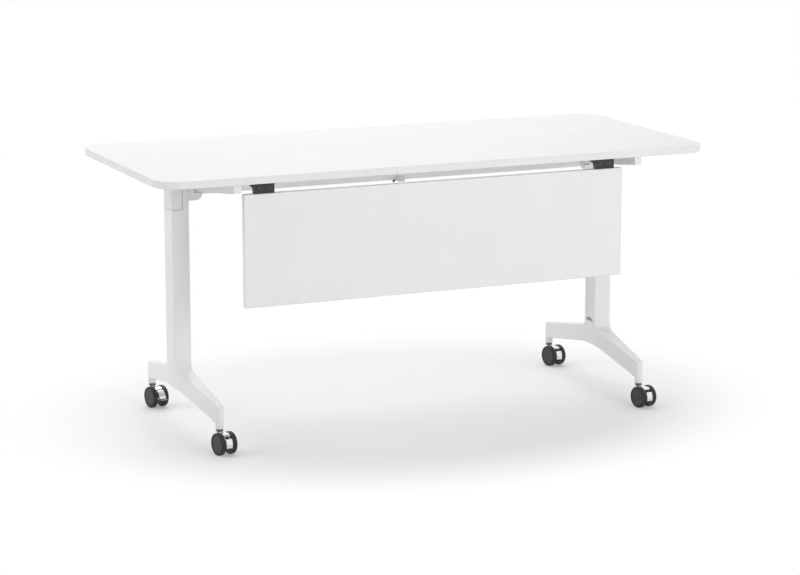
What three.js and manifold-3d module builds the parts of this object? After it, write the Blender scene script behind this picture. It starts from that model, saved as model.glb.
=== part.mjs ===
// Flip-top training table: a board that tips up on two T-shaped legs with casters, and a hanging front panel.
// Millimetres, +Z up, X along the length, the front at -Y.
// The origin is on the floor below the board's middle.
// Right-hand pieces are worked out once and mirrored for the left.

import * as THREE from 'three';
import { mergeVertices } from 'three/addons/utils/BufferGeometryUtils.js';
import Module from 'manifold-3d';

const wasm = await Module();
wasm.setup();

// Fits
const SEAT = 0.3; // gap between pieces that are fixed to each other
const RUN = 0.4; // gap between pieces that turn or slide on each other
const SWING = 0.8; // side gap beside a piece that swings past

// Board
const TABLE_HEIGHT = 740;
const TOP_LENGTH = 1600;
const TOP_DEPTH = 700;
const TOP_THICKNESS = 20;
const TOP_CORNER_RADIUS = 68;
const EDGE_BAND = 2;

// Legs
const LEG_INSET = 184; // from the board's end to the inner face of the column
const LEG_Y = -8;
const COLUMN_WIDTH = 50;
const COLUMN_DEPTH = 68;
const COLUMN_CROWN = 2;
const COLUMN_CORNER = 4;
const COLUMN_WALL = 3;
const CHANNEL_WIDTH = 36;
const CHANNEL_DEPTH = 10;
const CABLE_COVER_THICKNESS = 2;
const CABLE_COVER_RECESS = 0.8;
const CABLE_OUTLET = 10;
const HEAD_HEIGHT = 105;
const HEAD_GAP = 5;
const HEAD_COVER_WIDTH = 31;
const HEAD_COVER_WALL = 3;
const HEAD_REAR_RADIUS = 6;

// Feet
const STEM_SPACING = 554;
const POST_DIAMETER = 22;
const POST_BOTTOM = 65;
const FOOT_UNDER_POST = 82;
const FOOT_UNDER_SHOULDER = 114;
const FOOT_SHOULDER_Y = 80;
const FOOT_UNDER_CROWN = 121;
const FOOT_TOP_END = 128;
const FOOT_TOP_ROOT = 168;
const FOOT_FILLET = 24;
const FOOT_NECK_TOP = 188;
const FOOT_END_RADIUS = 6;
const FOOT_END_SWEEP = 80; // degrees of the rounded top edge at each end
const SPIGOT_HEIGHT = 40;

// Tilting frame
const PIVOT_Y = 8;
const PIVOT_DROP = 48;
const SHAFT_DIAMETER = 14;
const SHAFT_REACH = 17;
const BUSH_WALL = 3;
const ARM_WIDTH = 20;
const ARM_TIP_HEIGHT = 24;
const ARM_FRONT_SETBACK = 16;
const ARM_REAR_SETBACK = 50;
const ARM_HUB_RADIUS = 22;
const HOUSING_WIDTH = 19;
const HOUSING_RADIUS = 40;
const HOUSING_FRONT = 44;
const HOUSING_CORNER = 18;
const TOE_DEPTH = 16;
const TOE_HEIGHT = 21;
const BEAM_HEIGHT = 74.5;
const BEAM_DEPTH = 40;
const BEAM_WALL = 2.5;
const PAD_LENGTH = 24;
const PAD_WIDTH = 14;
const PAD_FRONT = 38;
const PAD_CORNER = 5;

// Lock
const LOCK_TURN = THREE.MathUtils.degToRad(30);
const LOCK_CRANK = 12;
const ROD_DROP = 22; // from the frame's top to the rods and the lever pin
const ROD_DIAMETER = 8;
const ROD_PIN_DIAMETER = 5;
const ROD_PIN_PLAY = 0.6;
const ROD_TAB_THICKNESS = 4;
const ROD_TAB_REACH = 34;
const ROD_TAB_FOOT = 10;
const SOCKET_DEPTH = 12;
const FORK_THICKNESS = 8;
const LEVER_PIN_DIAMETER = 6;
const LEVER_HUB_RADIUS = 8;
const LEVER_PRONG = 3;
const LEVER_PRONG_REACH = 16.5;
const LEVER_THICKNESS = 6;
const LEVER_BEND = 38;
const LEVER_DROP = 54;
const LEVER_SIDE = 11;
const LEVER_BAR = 6;
const LEVER_KNOB_RADIUS = 4.5;
const LEVER_PLATE_GAP = 1.5;
const LEVER_PLATE_LENGTH = 18;
const LEVER_PLATE_DEPTH = 20;
const LEVER_PLATE_RISE = 8;
const LEVER_PLATE_THICKNESS = 5;

// Front panel and its hinges
const PANEL_END_GAP = 61; // from the panel's end to the inner face of the column
const PANEL_HEIGHT = 301;
const PANEL_THICKNESS = 18;
const PANEL_GAP = 35;
const PANEL_SETBACK = 60; // from the board's front edge to the middle of the panel
const PANEL_BAND = 1;
const HINGE_INSET = 55; // from the panel's end to the middle of the hinge
const HINGE_WIDTH = 56;
const HINGE_RISE = 6;
const HINGE_FLANGE_WIDTH = 68;
const HINGE_FLANGE_DEPTH = 70;
const HINGE_FLANGE_THICKNESS = 9;
const HINGE_CHEEK = 6;
const HINGE_WEB = 2.2;
const HINGE_FRONT = 12;
const HINGE_EYE_RADIUS = 5.3;
const HINGE_THROAT = 8.5;
const HINGE_PIN_DIAMETER = 5;
const HINGE_LEAF_BASE = 2.7;

// Casters
const WHEEL_RADIUS = 30;
const WHEEL_WIDTH = 14;
const WHEEL_GAP = 21;
const WHEEL_RIM = 5;
const WHEEL_EDGE_RADIUS = 4;
const WHEEL_DISC_RECESS = 1;
const WHEEL_WEB = 3;
const CASTER_TRAIL = 24;
const CASTER_TURN = THREE.MathUtils.degToRad(10);
const AXLE_DIAMETER = 7;
const STEM_DIAMETER = 11;
const STEM_PIN_DIAMETER = 9;
const STEM_DEPTH = 46;
const COLLAR_DIAMETER = 20;
const COLLAR_HEIGHT = 6.5;
const BOSS_HEIGHT = 23;
const BOSS_FLOOR = 3;
const HOOD_RADIUS = 28.5;
const HOOD_CHEEK_RADIUS = 23.5;
const HOOD_HUB_RADIUS = 9;
const HOOD_CHEEK = 3.5;
const HOOD_CROWN = 4.5;
const PEDAL_OUTER_RADIUS = 29.5;
const PEDAL_THICKNESS = 4.5;
const PEDAL_LIP = 4.5;
const PEDAL_EYE_RADIUS = 3.8;
const PEDAL_PIN_RADIUS = 2;
const PEDAL_PIVOT_Y = -13.3;
const PEDAL_PIVOT_Z = 14.6;
const PEDAL_LIFT = THREE.MathUtils.degToRad(30);

// Angles round the caster axle in degrees, from the stem side over the top to the front
const HOOD_REAR = 28;
const HOOD_FRONT = 126;
const CHEEK_FRONT = 193;
const HUB_FROM = 250;
const HUB_TO = 330;
const POCKET_REAR = 110;
const POCKET_FRONT = 215;
const PEDAL_TOP = 145;
const PEDAL_BOTTOM = 206;
const PEDAL_ARM = 160;
const PEDAL_LIP_SPREAD = 5;
const PEDAL_ARM_SPREAD = 10;

// Roundness, in flats per turn or per bend
const ROUND_FINE = 24;
const ROUND = 20;
const ROUND_SMALL = 12;
const BOARD_CORNER_FLATS = 8;
const POST_FLATS = 16;
const FILLET_FLATS = 4;
const EDGE_FLATS = 2;
const SWEEP_FLATS = 6;

// Levels and faces that follow from the sizes above
const UNDERSIDE = TABLE_HEIGHT - TOP_THICKNESS;
const FRAME_TOP = UNDERSIDE - SEAT;
const PIVOT_Z = UNDERSIDE - PIVOT_DROP;
const HEAD_TOP = UNDERSIDE - HEAD_GAP;
const HEAD_SEAM = HEAD_TOP - HEAD_HEIGHT;
const LEG_INNER = TOP_LENGTH / 2 - LEG_INSET;
const LEG_OUTER = LEG_INNER + COLUMN_WIDTH;
const NOTCH_X = LEG_OUTER - HEAD_COVER_WIDTH;
const CAVITY_INNER = LEG_INNER + CHANNEL_DEPTH + COLUMN_WALL;
const STEM_X = LEG_INNER + POST_DIAMETER / 2;
const HOUSING_OUTER = LEG_INNER - SEAT;
const HOUSING_INNER = HOUSING_OUTER - HOUSING_WIDTH;
const ARM_OUTER = HOUSING_INNER - SWING;
const ARM_INNER = ARM_OUTER - ARM_WIDTH;
const ARM_FRONT = TOP_DEPTH / 2 - ARM_FRONT_SETBACK;
const ARM_REAR = TOP_DEPTH / 2 - ARM_REAR_SETBACK;
const BEAM_END = ARM_INNER - SEAT;
const BEAM_BOTTOM = FRAME_TOP - BEAM_HEIGHT;
const ROD_Z = FRAME_TOP - ROD_DROP;
const SHAFT_RADIUS = SHAFT_DIAMETER / 2;
const BUSH_RADIUS = SHAFT_RADIUS + RUN + BUSH_WALL;
const PANEL_TOP = UNDERSIDE - PANEL_GAP;
const PANEL_Y = PANEL_SETBACK - TOP_DEPTH / 2;
const HINGE_Z = PANEL_TOP + HINGE_RISE;
const HOOD_HALF = WHEEL_GAP / 2 - SWING;
const COLLAR_TOP = POST_BOTTOM - SEAT;
const BOSS_TOP = COLLAR_TOP - COLLAR_HEIGHT - RUN;

// Finishes
function finish(color, roughness, metalness) {
  return new THREE.MeshStandardMaterial({ color, roughness, metalness });
}

const WHITE_MELAMINE = finish('#f3f3f2', 0.5, 0);
const WHITE_EDGE = finish('#ececea', 0.45, 0);
const WHITE_LACQUER = finish('#e6e6e3', 0.4, 0.1);
const WHITE_PLASTIC = finish('#e2e2df', 0.5, 0);
const BLACK_PLASTIC = finish('#2c2c2e', 0.55, 0);
const WHEEL_GREY = finish('#46464a', 0.6, 0);
const CHROME = finish('#d9dadc', 0.12, 1);
const STEEL = finish('#b4b6b8', 0.3, 1);
const DARK_STEEL = finish('#3c3c3f', 0.4, 0.8);
const BRONZE = finish('#b08d57', 0.4, 1);
const RUBBER = finish('#222222', 0.9, 0);

// Closed meshes to solids for joining and cutting, and back
function solidOf(geometry) {
  const bare = geometry.index ? geometry.toNonIndexed() : geometry.clone();
  bare.deleteAttribute('normal');
  bare.deleteAttribute('uv');
  const merged = mergeVertices(bare, 1e-4);
  const vertProperties = new Float32Array(merged.attributes.position.array);
  const triVerts = new Uint32Array(merged.index.array);
  return new wasm.Manifold(new wasm.Mesh({ numProp: 3, vertProperties, triVerts }));
}

function geometryOf(solid) {
  const mesh = solid.getMesh();
  const geometry = new THREE.BufferGeometry();
  geometry.setAttribute('position', new THREE.BufferAttribute(new Float32Array(mesh.vertProperties), 3));
  geometry.setIndex(new THREE.BufferAttribute(new Uint32Array(mesh.triVerts), 1));
  geometry.computeVertexNormals();
  return geometry;
}

const join = (...pieces) => geometryOf(pieces.map(solidOf).reduce((whole, piece) => whole.add(piece)));

function cut(body, ...tools) {
  return geometryOf(tools.map(solidOf).reduce((whole, tool) => whole.subtract(tool), solidOf(body)));
}

const common = (a, b) => geometryOf(solidOf(a).intersect(solidOf(b)));

function mirrored(geometry) {
  const copy = geometry.index ? geometry.toNonIndexed() : geometry.clone();
  copy.scale(-1, 1, 1);
  const corners = copy.attributes.position;
  const held = new THREE.Vector3();
  const other = new THREE.Vector3();
  for (let i = 0; i < corners.count; i += 3) {
    held.fromBufferAttribute(corners, i + 1);
    other.fromBufferAttribute(corners, i + 2);
    corners.setXYZ(i + 1, other.x, other.y, other.z);
    corners.setXYZ(i + 2, held.x, held.y, held.z);
  }
  copy.computeVertexNormals();
  return copy;
}

// Outlines are lists of [u, v] points
function arc(u, v, radius, from, to, flats) {
  const points = [];
  for (let i = 0; i <= flats; i += 1) {
    const angle = THREE.MathUtils.degToRad(from + ((to - from) * i) / flats);
    points.push([u + radius * Math.cos(angle), v + radius * Math.sin(angle)]);
  }
  return points;
}

function roundedRectangle(u0, u1, v0, v1, radius, flats) {
  return [
    ...arc(u1 - radius, v0 + radius, radius, -90, 0, flats),
    ...arc(u1 - radius, v1 - radius, radius, 0, 90, flats),
    ...arc(u0 + radius, v1 - radius, radius, 90, 180, flats),
    ...arc(u0 + radius, v0 + radius, radius, 180, 270, flats),
  ];
}

function extrusion(outline, depth, hole) {
  const toPath = (points) => points.map(([u, v]) => new THREE.Vector2(u, v));
  const shape = new THREE.Shape(toPath(outline));
  if (hole) shape.holes.push(new THREE.Path(toPath(hole)));
  return new THREE.ExtrudeGeometry(shape, { depth, bevelEnabled: false, steps: 1 });
}

const AXIS_X = new THREE.Vector3(1, 0, 0);
const AXIS_Y = new THREE.Vector3(0, 1, 0);
const AXIS_Z = new THREE.Vector3(0, 0, 1);

// An outline in Y and Z, run along X
function alongX(outline, x0, x1, hole) {
  const turn = new THREE.Matrix4().makeBasis(AXIS_Y, AXIS_Z, AXIS_X);
  return extrusion(outline, x1 - x0, hole).applyMatrix4(turn).translate(x0, 0, 0);
}

// An outline in X and Z, run along Y
function alongY(outline, y0, y1, hole) {
  const turn = new THREE.Matrix4().makeBasis(AXIS_X, AXIS_Z, AXIS_Y.clone().negate());
  return extrusion(outline, y1 - y0, hole).applyMatrix4(turn).translate(0, y1, 0);
}

// An outline in X and Y, run along Z
const alongZ = (outline, z0, z1, hole) => extrusion(outline, z1 - z0, hole).translate(0, 0, z0);

function block(x0, x1, y0, y1, z0, z1) {
  const box = new THREE.BoxGeometry(x1 - x0, y1 - y0, z1 - z0);
  return box.translate((x0 + x1) / 2, (y0 + y1) / 2, (z0 + z1) / 2);
}

function rodX(radius, x0, x1, y, z, flats = ROUND) {
  const rod = new THREE.CylinderGeometry(radius, radius, x1 - x0, flats).rotateZ(-Math.PI / 2);
  return rod.translate((x0 + x1) / 2, y, z);
}

function rodY(radius, y0, y1, x, z, flats = ROUND) {
  return new THREE.CylinderGeometry(radius, radius, y1 - y0, flats).translate(x, (y0 + y1) / 2, z);
}

function rodZ(radius, z0, z1, x, y, flats = ROUND) {
  const rod = new THREE.CylinderGeometry(radius, radius, z1 - z0, flats).rotateX(Math.PI / 2);
  return rod.translate(x, y, (z0 + z1) / 2);
}

// Board and edge band
const halfLength = TOP_LENGTH / 2;
const halfDepth = TOP_DEPTH / 2;

function boardOutline(inset) {
  const radius = TOP_CORNER_RADIUS - inset;
  const x = halfLength - inset;
  const y = halfDepth - inset;
  return roundedRectangle(-x, x, -y, y, radius, BOARD_CORNER_FLATS);
}

const boardGeometry = alongZ(boardOutline(EDGE_BAND + SEAT), UNDERSIDE, TABLE_HEIGHT);
const edgeBandGeometry = alongZ(boardOutline(0), UNDERSIDE, TABLE_HEIGHT, boardOutline(EDGE_BAND));

// Column: an extruded profile with crowned front and back and a cable channel in its inner face
const CHANNEL_CORNERS = 4;

function columnOutline() {
  const half = COLUMN_DEPTH / 2;
  const shoulder = half - COLUMN_CROWN;
  const radius = COLUMN_CORNER;
  const front = [];
  for (let i = 1; i < SWEEP_FLATS; i += 1) {
    const t = i / SWEEP_FLATS;
    const x = LEG_INNER + radius + (COLUMN_WIDTH - 2 * radius) * t;
    front.push([x, shoulder + COLUMN_CROWN * (1 - (2 * t - 1) ** 2)]);
  }
  const outline = [
    ...arc(LEG_INNER + radius, -shoulder + radius, radius, 180, 270, EDGE_FLATS),
    ...front.map(([x, y]) => [x, -y]),
    ...arc(LEG_OUTER - radius, -shoulder + radius, radius, -90, 0, EDGE_FLATS),
    ...arc(LEG_OUTER - radius, shoulder - radius, radius, 0, 90, EDGE_FLATS),
    ...front.reverse(),
    ...arc(LEG_INNER + radius, shoulder - radius, radius, 90, 180, EDGE_FLATS),
    [LEG_INNER, CHANNEL_WIDTH / 2],
    [LEG_INNER + CHANNEL_DEPTH, CHANNEL_WIDTH / 2],
    [LEG_INNER + CHANNEL_DEPTH, -CHANNEL_WIDTH / 2],
    [LEG_INNER, -CHANNEL_WIDTH / 2],
  ];
  return outline.map(([x, y]) => [x, y + LEG_Y]);
}

// The outer profile, without the channel
const headOutline = () => columnOutline().slice(0, -CHANNEL_CORNERS);

function cavityOutline(inset) {
  const half = COLUMN_DEPTH / 2 - COLUMN_CROWN - COLUMN_WALL - inset;
  const x0 = CAVITY_INNER + inset;
  const x1 = LEG_OUTER - COLUMN_WALL - inset;
  return [[x0, LEG_Y - half], [x1, LEG_Y - half], [x1, LEG_Y + half], [x0, LEG_Y + half]];
}

const PAST = 50; // how far a cutting tool runs past what it cuts

// Everything above the seam and behind the rear radius of the head stays clear of the board as it turns
function headEnvelope() {
  const rear = LEG_Y + COLUMN_DEPTH / 2;
  const radius = HEAD_REAR_RADIUS;
  const outline = [
    [LEG_Y - COLUMN_DEPTH, 0],
    [rear, 0],
    ...arc(rear - radius, HEAD_TOP - radius, radius, 0, 90, FILLET_FLATS),
    [LEG_Y - COLUMN_DEPTH, HEAD_TOP],
  ];
  return alongX(outline, LEG_INNER - PAST, LEG_OUTER + PAST);
}

const columnBase = FOOT_NECK_TOP + SEAT;
const columnGeometry = cut(
  common(alongZ(columnOutline(), columnBase, HEAD_TOP, cavityOutline(0)), headEnvelope()),
  block(NOTCH_X, LEG_OUTER + PAST, LEG_Y - COLUMN_DEPTH, LEG_Y + COLUMN_DEPTH, HEAD_SEAM, HEAD_TOP + PAST),
  rodX(SHAFT_RADIUS + SWING, LEG_INNER - PAST, LEG_OUTER, PIVOT_Y, PIVOT_Z),
);

const coverInside = COLUMN_DEPTH / 2 - COLUMN_CROWN - HEAD_COVER_WALL;
const headCoverGeometry = cut(
  common(alongZ(headOutline(), HEAD_SEAM + SEAT, HEAD_TOP), headEnvelope()),
  block(LEG_INNER - PAST, NOTCH_X + SEAT, LEG_Y - COLUMN_DEPTH, LEG_Y + COLUMN_DEPTH, 0, TABLE_HEIGHT),
  block(
    LEG_INNER - PAST,
    LEG_OUTER - HEAD_COVER_WALL,
    LEG_Y - coverInside,
    LEG_Y + coverInside,
    0,
    HEAD_TOP - HEAD_COVER_WALL,
  ),
);

const cableCoverTop = PIVOT_Z - HOUSING_RADIUS - SEAT;
const cableCoverGeometry = block(
  LEG_INNER + CABLE_COVER_RECESS,
  LEG_INNER + CABLE_COVER_RECESS + CABLE_COVER_THICKNESS,
  LEG_Y - CHANNEL_WIDTH / 2 + SEAT,
  LEG_Y + CHANNEL_WIDTH / 2 - SEAT,
  columnBase + CABLE_OUTLET,
  cableCoverTop,
);

// Foot: an arch seen from the side, flat on the inner side, tapering to a round post at each end
const stemReach = STEM_SPACING / 2;
const postRadius = POST_DIAMETER / 2;

function footProfile() {
  const reach = stemReach + postRadius;
  const face = COLUMN_DEPTH / 2;
  const half = [];
  for (let i = 0; i <= SWEEP_FLATS; i += 1) {
    const t = i / SWEEP_FLATS;
    half.push([FOOT_SHOULDER_Y * t, FOOT_UNDER_CROWN + (FOOT_UNDER_SHOULDER - FOOT_UNDER_CROWN) * t * t]);
  }
  half.push([stemReach - postRadius, FOOT_UNDER_POST]);
  half.push([reach, FOOT_UNDER_POST]);
  const bend = [reach - FOOT_END_RADIUS, FOOT_TOP_END - FOOT_END_RADIUS];
  half.push(...arc(...bend, FOOT_END_RADIUS, 0, FOOT_END_SWEEP, FILLET_FLATS));
  half.push([face + FOOT_FILLET, FOOT_TOP_ROOT]);
  const sweep = new THREE.QuadraticBezierCurve(
    new THREE.Vector2(face + FOOT_FILLET, FOOT_TOP_ROOT),
    new THREE.Vector2(face, FOOT_TOP_ROOT + (FOOT_FILLET * (FOOT_TOP_ROOT - FOOT_TOP_END)) / (reach - face)),
    new THREE.Vector2(face, FOOT_NECK_TOP),
  );
  half.push(...sweep.getPoints(SWEEP_FLATS).slice(1).map((p) => [p.x, p.y]));
  const rear = half.map(([u, v]) => [LEG_Y + u, v]);
  const front = half.slice(1).reverse().map(([u, v]) => [LEG_Y - u, v]);
  return [...rear, ...front];
}

function footPlan() {
  const half = COLUMN_DEPTH / 2;
  const shoulder = half - COLUMN_CROWN;
  const crown = [LEG_OUTER - COLUMN_CORNER, half + COLUMN_CORNER];
  return [
    ...arc(STEM_X, -stemReach, postRadius, 180, 360, POST_FLATS / 2),
    [crown[0], -crown[1]],
    [LEG_OUTER, -shoulder + COLUMN_CORNER],
    [LEG_OUTER, shoulder - COLUMN_CORNER],
    [crown[0], crown[1]],
    ...arc(STEM_X, stemReach, postRadius, 0, 180, POST_FLATS / 2),
  ].map(([x, y]) => [x, y + LEG_Y]);
}

const stemTop = POST_BOTTOM + STEM_DEPTH;
const stemYs = [LEG_Y - stemReach, LEG_Y + stemReach];
const footBody = common(
  alongX(footProfile(), LEG_INNER, LEG_OUTER),
  alongZ(footPlan(), 0, FOOT_NECK_TOP + PAST),
);
const postTop = FOOT_UNDER_SHOULDER;
const footPosts = stemYs.map((y) => rodZ(postRadius, POST_BOTTOM, postTop, STEM_X, y, POST_FLATS));
const boreRadius = STEM_DIAMETER / 2 + SEAT;
const footBores = stemYs.map((y) => rodZ(boreRadius, 0, stemTop + SEAT, STEM_X, y, ROUND_SMALL));
const footGeometry = join(
  cut(join(footBody, ...footPosts), ...footBores),
  alongZ(cavityOutline(SEAT), FOOT_NECK_TOP - SPIGOT_HEIGHT / 2, FOOT_NECK_TOP + SPIGOT_HEIGHT),
);

// Pivot: a fixed housing on the column's inner face, a bush, and a shaft that turns with the arm
// The housing's toe reaches in below the front of the arm
// The second socket is where the rod points when the board stands upright
const socketUp = [PIVOT_Y + ROD_Z - PIVOT_Z, PIVOT_Z + PIVOT_Y];

function housingProfile() {
  const front = PIVOT_Y - HOUSING_FRONT;
  return [
    [front, PIVOT_Z - HOUSING_RADIUS],
    ...arc(PIVOT_Y, PIVOT_Z, HOUSING_RADIUS, -90, 90, ROUND / 2),
    [front, PIVOT_Z + HOUSING_RADIUS],
  ];
}

function toeFace() {
  const bottom = PIVOT_Z - HOUSING_RADIUS;
  const inner = ARM_INNER + SWING;
  return [
    [HOUSING_OUTER, bottom],
    [HOUSING_OUTER, bottom + TOE_HEIGHT],
    [inner, bottom + TOE_HEIGHT],
    ...arc(inner + HOUSING_CORNER, bottom + HOUSING_CORNER, HOUSING_CORNER, 180, 270, SWEEP_FLATS),
  ];
}

const toeFront = PIVOT_Y - HOUSING_FRONT;
const socketRadius = ROD_DIAMETER / 2 + RUN;
const housingGeometry = cut(
  join(
    alongX(housingProfile(), HOUSING_INNER, HOUSING_OUTER),
    alongY(toeFace(), toeFront, toeFront + TOE_DEPTH),
  ),
  rodX(BUSH_RADIUS + SEAT, HOUSING_INNER - PAST, HOUSING_OUTER + PAST, PIVOT_Y, PIVOT_Z),
  rodX(socketRadius, HOUSING_INNER - PAST, HOUSING_INNER + SOCKET_DEPTH, 0, ROD_Z, ROUND_SMALL),
  rodX(socketRadius, HOUSING_INNER - PAST, HOUSING_INNER + SOCKET_DEPTH, ...socketUp, ROUND_SMALL),
);

const bushGeometry = cut(
  rodX(BUSH_RADIUS, HOUSING_INNER, HOUSING_OUTER, PIVOT_Y, PIVOT_Z),
  rodX(SHAFT_RADIUS + RUN, HOUSING_INNER - PAST, HOUSING_OUTER + PAST, PIVOT_Y, PIVOT_Z),
);

const shaftGeometry = rodX(SHAFT_RADIUS, ARM_INNER, LEG_INNER + SHAFT_REACH, PIVOT_Y, PIVOT_Z);

const padFront = PIVOT_Y - PAD_FRONT;
const padMiddle = (HOUSING_INNER + HOUSING_OUTER) / 2;
const padGeometry = alongZ(
  roundedRectangle(
    padMiddle - PAD_WIDTH / 2,
    padMiddle + PAD_WIDTH / 2,
    padFront,
    padFront + PAD_LENGTH,
    PAD_CORNER,
    FILLET_FLATS,
  ),
  PIVOT_Z + HOUSING_RADIUS + SEAT,
  FRAME_TOP,
);

// Support arm: deep at its hub, running out to a shallow tip at the front and the rear
function armProfile() {
  const tip = FRAME_TOP - ARM_TIP_HEIGHT;
  const rise = tip - PIVOT_Z;
  const tangent = (u, side) => {
    const bearing = Math.atan2(rise, u);
    const spread = Math.acos(ARM_HUB_RADIUS / Math.hypot(u, rise));
    return THREE.MathUtils.radToDeg(bearing + side * spread);
  };
  const frontAngle = tangent(-ARM_FRONT - PIVOT_Y, 1);
  const rearAngle = tangent(ARM_REAR - PIVOT_Y, -1) + 360;
  return [
    [-ARM_FRONT, FRAME_TOP],
    [-ARM_FRONT, tip],
    ...arc(PIVOT_Y, PIVOT_Z, ARM_HUB_RADIUS, frontAngle, rearAngle, FILLET_FLATS),
    [ARM_REAR, tip],
    [ARM_REAR, FRAME_TOP],
  ];
}

const armGeometry = cut(
  alongX(armProfile(), ARM_INNER, ARM_OUTER),
  rodX(SHAFT_RADIUS + SEAT, ARM_INNER - PAST, ARM_OUTER + PAST, PIVOT_Y, PIVOT_Z),
  rodX(ROD_DIAMETER / 2 + RUN, ARM_INNER - PAST, ARM_OUTER + PAST, 0, ROD_Z, ROUND_SMALL),
);

// Crossbeam: a rectangular tube with a hole in front for the lever's hub
const beamHalf = BEAM_DEPTH / 2;
const leverRadius = LEVER_PIN_DIAMETER / 2;
const beamTube = alongX(
  [[-beamHalf, BEAM_BOTTOM], [beamHalf, BEAM_BOTTOM], [beamHalf, FRAME_TOP], [-beamHalf, FRAME_TOP]],
  -BEAM_END,
  BEAM_END,
  [
    [-beamHalf + BEAM_WALL, BEAM_BOTTOM + BEAM_WALL],
    [beamHalf - BEAM_WALL, BEAM_BOTTOM + BEAM_WALL],
    [beamHalf - BEAM_WALL, FRAME_TOP - BEAM_WALL],
    [-beamHalf + BEAM_WALL, FRAME_TOP - BEAM_WALL],
  ],
);
const leverRear = -beamHalf - SWING;
const leverFront = leverRear - LEVER_THICKNESS;
const beamGeometry = cut(
  beamTube,
  rodY(LEVER_HUB_RADIUS + SWING, -beamHalf - PAST, 0, 0, ROD_Z),
  rodY(leverRadius + SEAT, 0, beamHalf + PAST, 0, ROD_Z, ROUND_SMALL),
);

const leverPinGeometry = rodY(leverRadius, leverFront, beamHalf, 0, ROD_Z, ROUND_SMALL);

// Plate: an angle round the beam's lower front edge, beside the lever
const plateFront = -beamHalf - SEAT - LEVER_PLATE_THICKNESS;
const plateBottom = BEAM_BOTTOM - SEAT - LEVER_PLATE_THICKNESS;
const plateNear = LEVER_BAR / 2 + LEVER_PLATE_GAP;
const plateProfile = [
  [plateFront, plateBottom],
  [plateFront + LEVER_PLATE_DEPTH, plateBottom],
  [plateFront + LEVER_PLATE_DEPTH, BEAM_BOTTOM - SEAT],
  [-beamHalf - SEAT, BEAM_BOTTOM - SEAT],
  [-beamHalf - SEAT, BEAM_BOTTOM + LEVER_PLATE_RISE],
  [plateFront, BEAM_BOTTOM + LEVER_PLATE_RISE],
];
const leverPlateGeometry = alongX(plateProfile, plateNear, plateNear + LEVER_PLATE_LENGTH);

// Lever: a two-ended fork in the beam that drives the rod pins, and a hooked bar with a knob in front of it
const forkHalf = ROD_PIN_DIAMETER / 2 + ROD_PIN_PLAY;
const prongHalf = forkHalf + LEVER_PRONG;
const leverHalf = FORK_THICKNESS / 2;
const leverEnd = ROD_Z - LEVER_DROP;

function leverBar() {
  const half = LEVER_BAR / 2;
  const bend = ROD_Z - LEVER_BEND;
  return [
    [-half, ROD_Z],
    [-half, bend],
    [-LEVER_SIDE, leverEnd + half],
    [-LEVER_SIDE, leverEnd - half],
    [half, bend - half],
    [half, ROD_Z],
  ];
}

const forkFloor = ROD_PIN_DIAMETER + ROD_PIN_PLAY;
const forkSlot = (side) => block(
  -forkHalf,
  forkHalf,
  -leverHalf - PAST,
  leverHalf + PAST,
  side > 0 ? ROD_Z + LOCK_CRANK - forkFloor / 2 - ROD_PIN_PLAY : ROD_Z - LOCK_CRANK - PAST,
  side > 0 ? ROD_Z + LOCK_CRANK + PAST : ROD_Z - LOCK_CRANK + forkFloor / 2 + ROD_PIN_PLAY,
);
const forkBody = join(
  block(-prongHalf, prongHalf, -leverHalf, leverHalf, ROD_Z - LEVER_PRONG_REACH, ROD_Z + LEVER_PRONG_REACH),
  rodY(LEVER_HUB_RADIUS, leverFront, leverHalf, 0, ROD_Z),
);
const leverGeometry = cut(
  join(
    cut(forkBody, forkSlot(1), forkSlot(-1)),
    alongY(leverBar(), leverFront, leverRear),
    rodY(LEVER_KNOB_RADIUS, leverFront, leverRear, -LEVER_SIDE, leverEnd, ROUND_SMALL),
  ),
  rodY(leverRadius + RUN, leverFront - PAST, leverHalf + PAST, 0, ROD_Z, ROUND_SMALL),
);

// Lock rod: a round bar in the beam, with a flat tab beside the lever that carries the drive pin
const pinZ = ROD_Z + LOCK_CRANK;
const tabNear = leverHalf + SWING;
const tabFar = tabNear + ROD_TAB_THICKNESS;
const tabStart = ROD_TAB_REACH - ROD_TAB_FOOT;
const tabEdge = ROD_TAB_FOOT / 2;
const rodRadius = ROD_DIAMETER / 2;
const tabOutline = [
  [-tabEdge, pinZ - tabEdge],
  [tabStart, pinZ - tabEdge],
  [tabStart, ROD_Z - rodRadius],
  [ROD_TAB_REACH, ROD_Z - rodRadius],
  [ROD_TAB_REACH, pinZ + tabEdge],
  [-tabEdge, pinZ + tabEdge],
];
const rodGeometry = join(
  rodX(rodRadius, tabStart, ARM_OUTER - RUN, 0, ROD_Z, ROUND_SMALL),
  alongY(tabOutline, tabNear, tabFar),
  block(tabStart, ROD_TAB_REACH, 0, tabFar, ROD_Z - rodRadius, ROD_Z + rodRadius),
  rodY(ROD_PIN_DIAMETER / 2, -leverHalf, tabNear + ROD_TAB_THICKNESS / 2, 0, pinZ, ROUND_SMALL),
);
// The left rod is the same piece, turned half round the lever pin
const rodGeometryLeft = rodGeometry.clone().translate(0, 0, -ROD_Z).rotateY(Math.PI).translate(0, 0, ROD_Z);

// Front panel
const panelHalf = LEG_INNER - PANEL_END_GAP;
const panelFront = PANEL_Y - PANEL_THICKNESS / 2;
const panelRear = PANEL_Y + PANEL_THICKNESS / 2;
const panelBottom = PANEL_TOP - PANEL_HEIGHT;
const panelOutline = (inset) => [
  [-panelHalf + inset, panelBottom + inset],
  [panelHalf - inset, panelBottom + inset],
  [panelHalf - inset, PANEL_TOP - inset],
  [-panelHalf + inset, PANEL_TOP - inset],
];
const panelGeometry = alongY(panelOutline(PANEL_BAND + SEAT), panelFront, panelRear);
const panelBandGeometry = alongY(panelOutline(0), panelFront, panelRear, panelOutline(PANEL_BAND));

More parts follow.
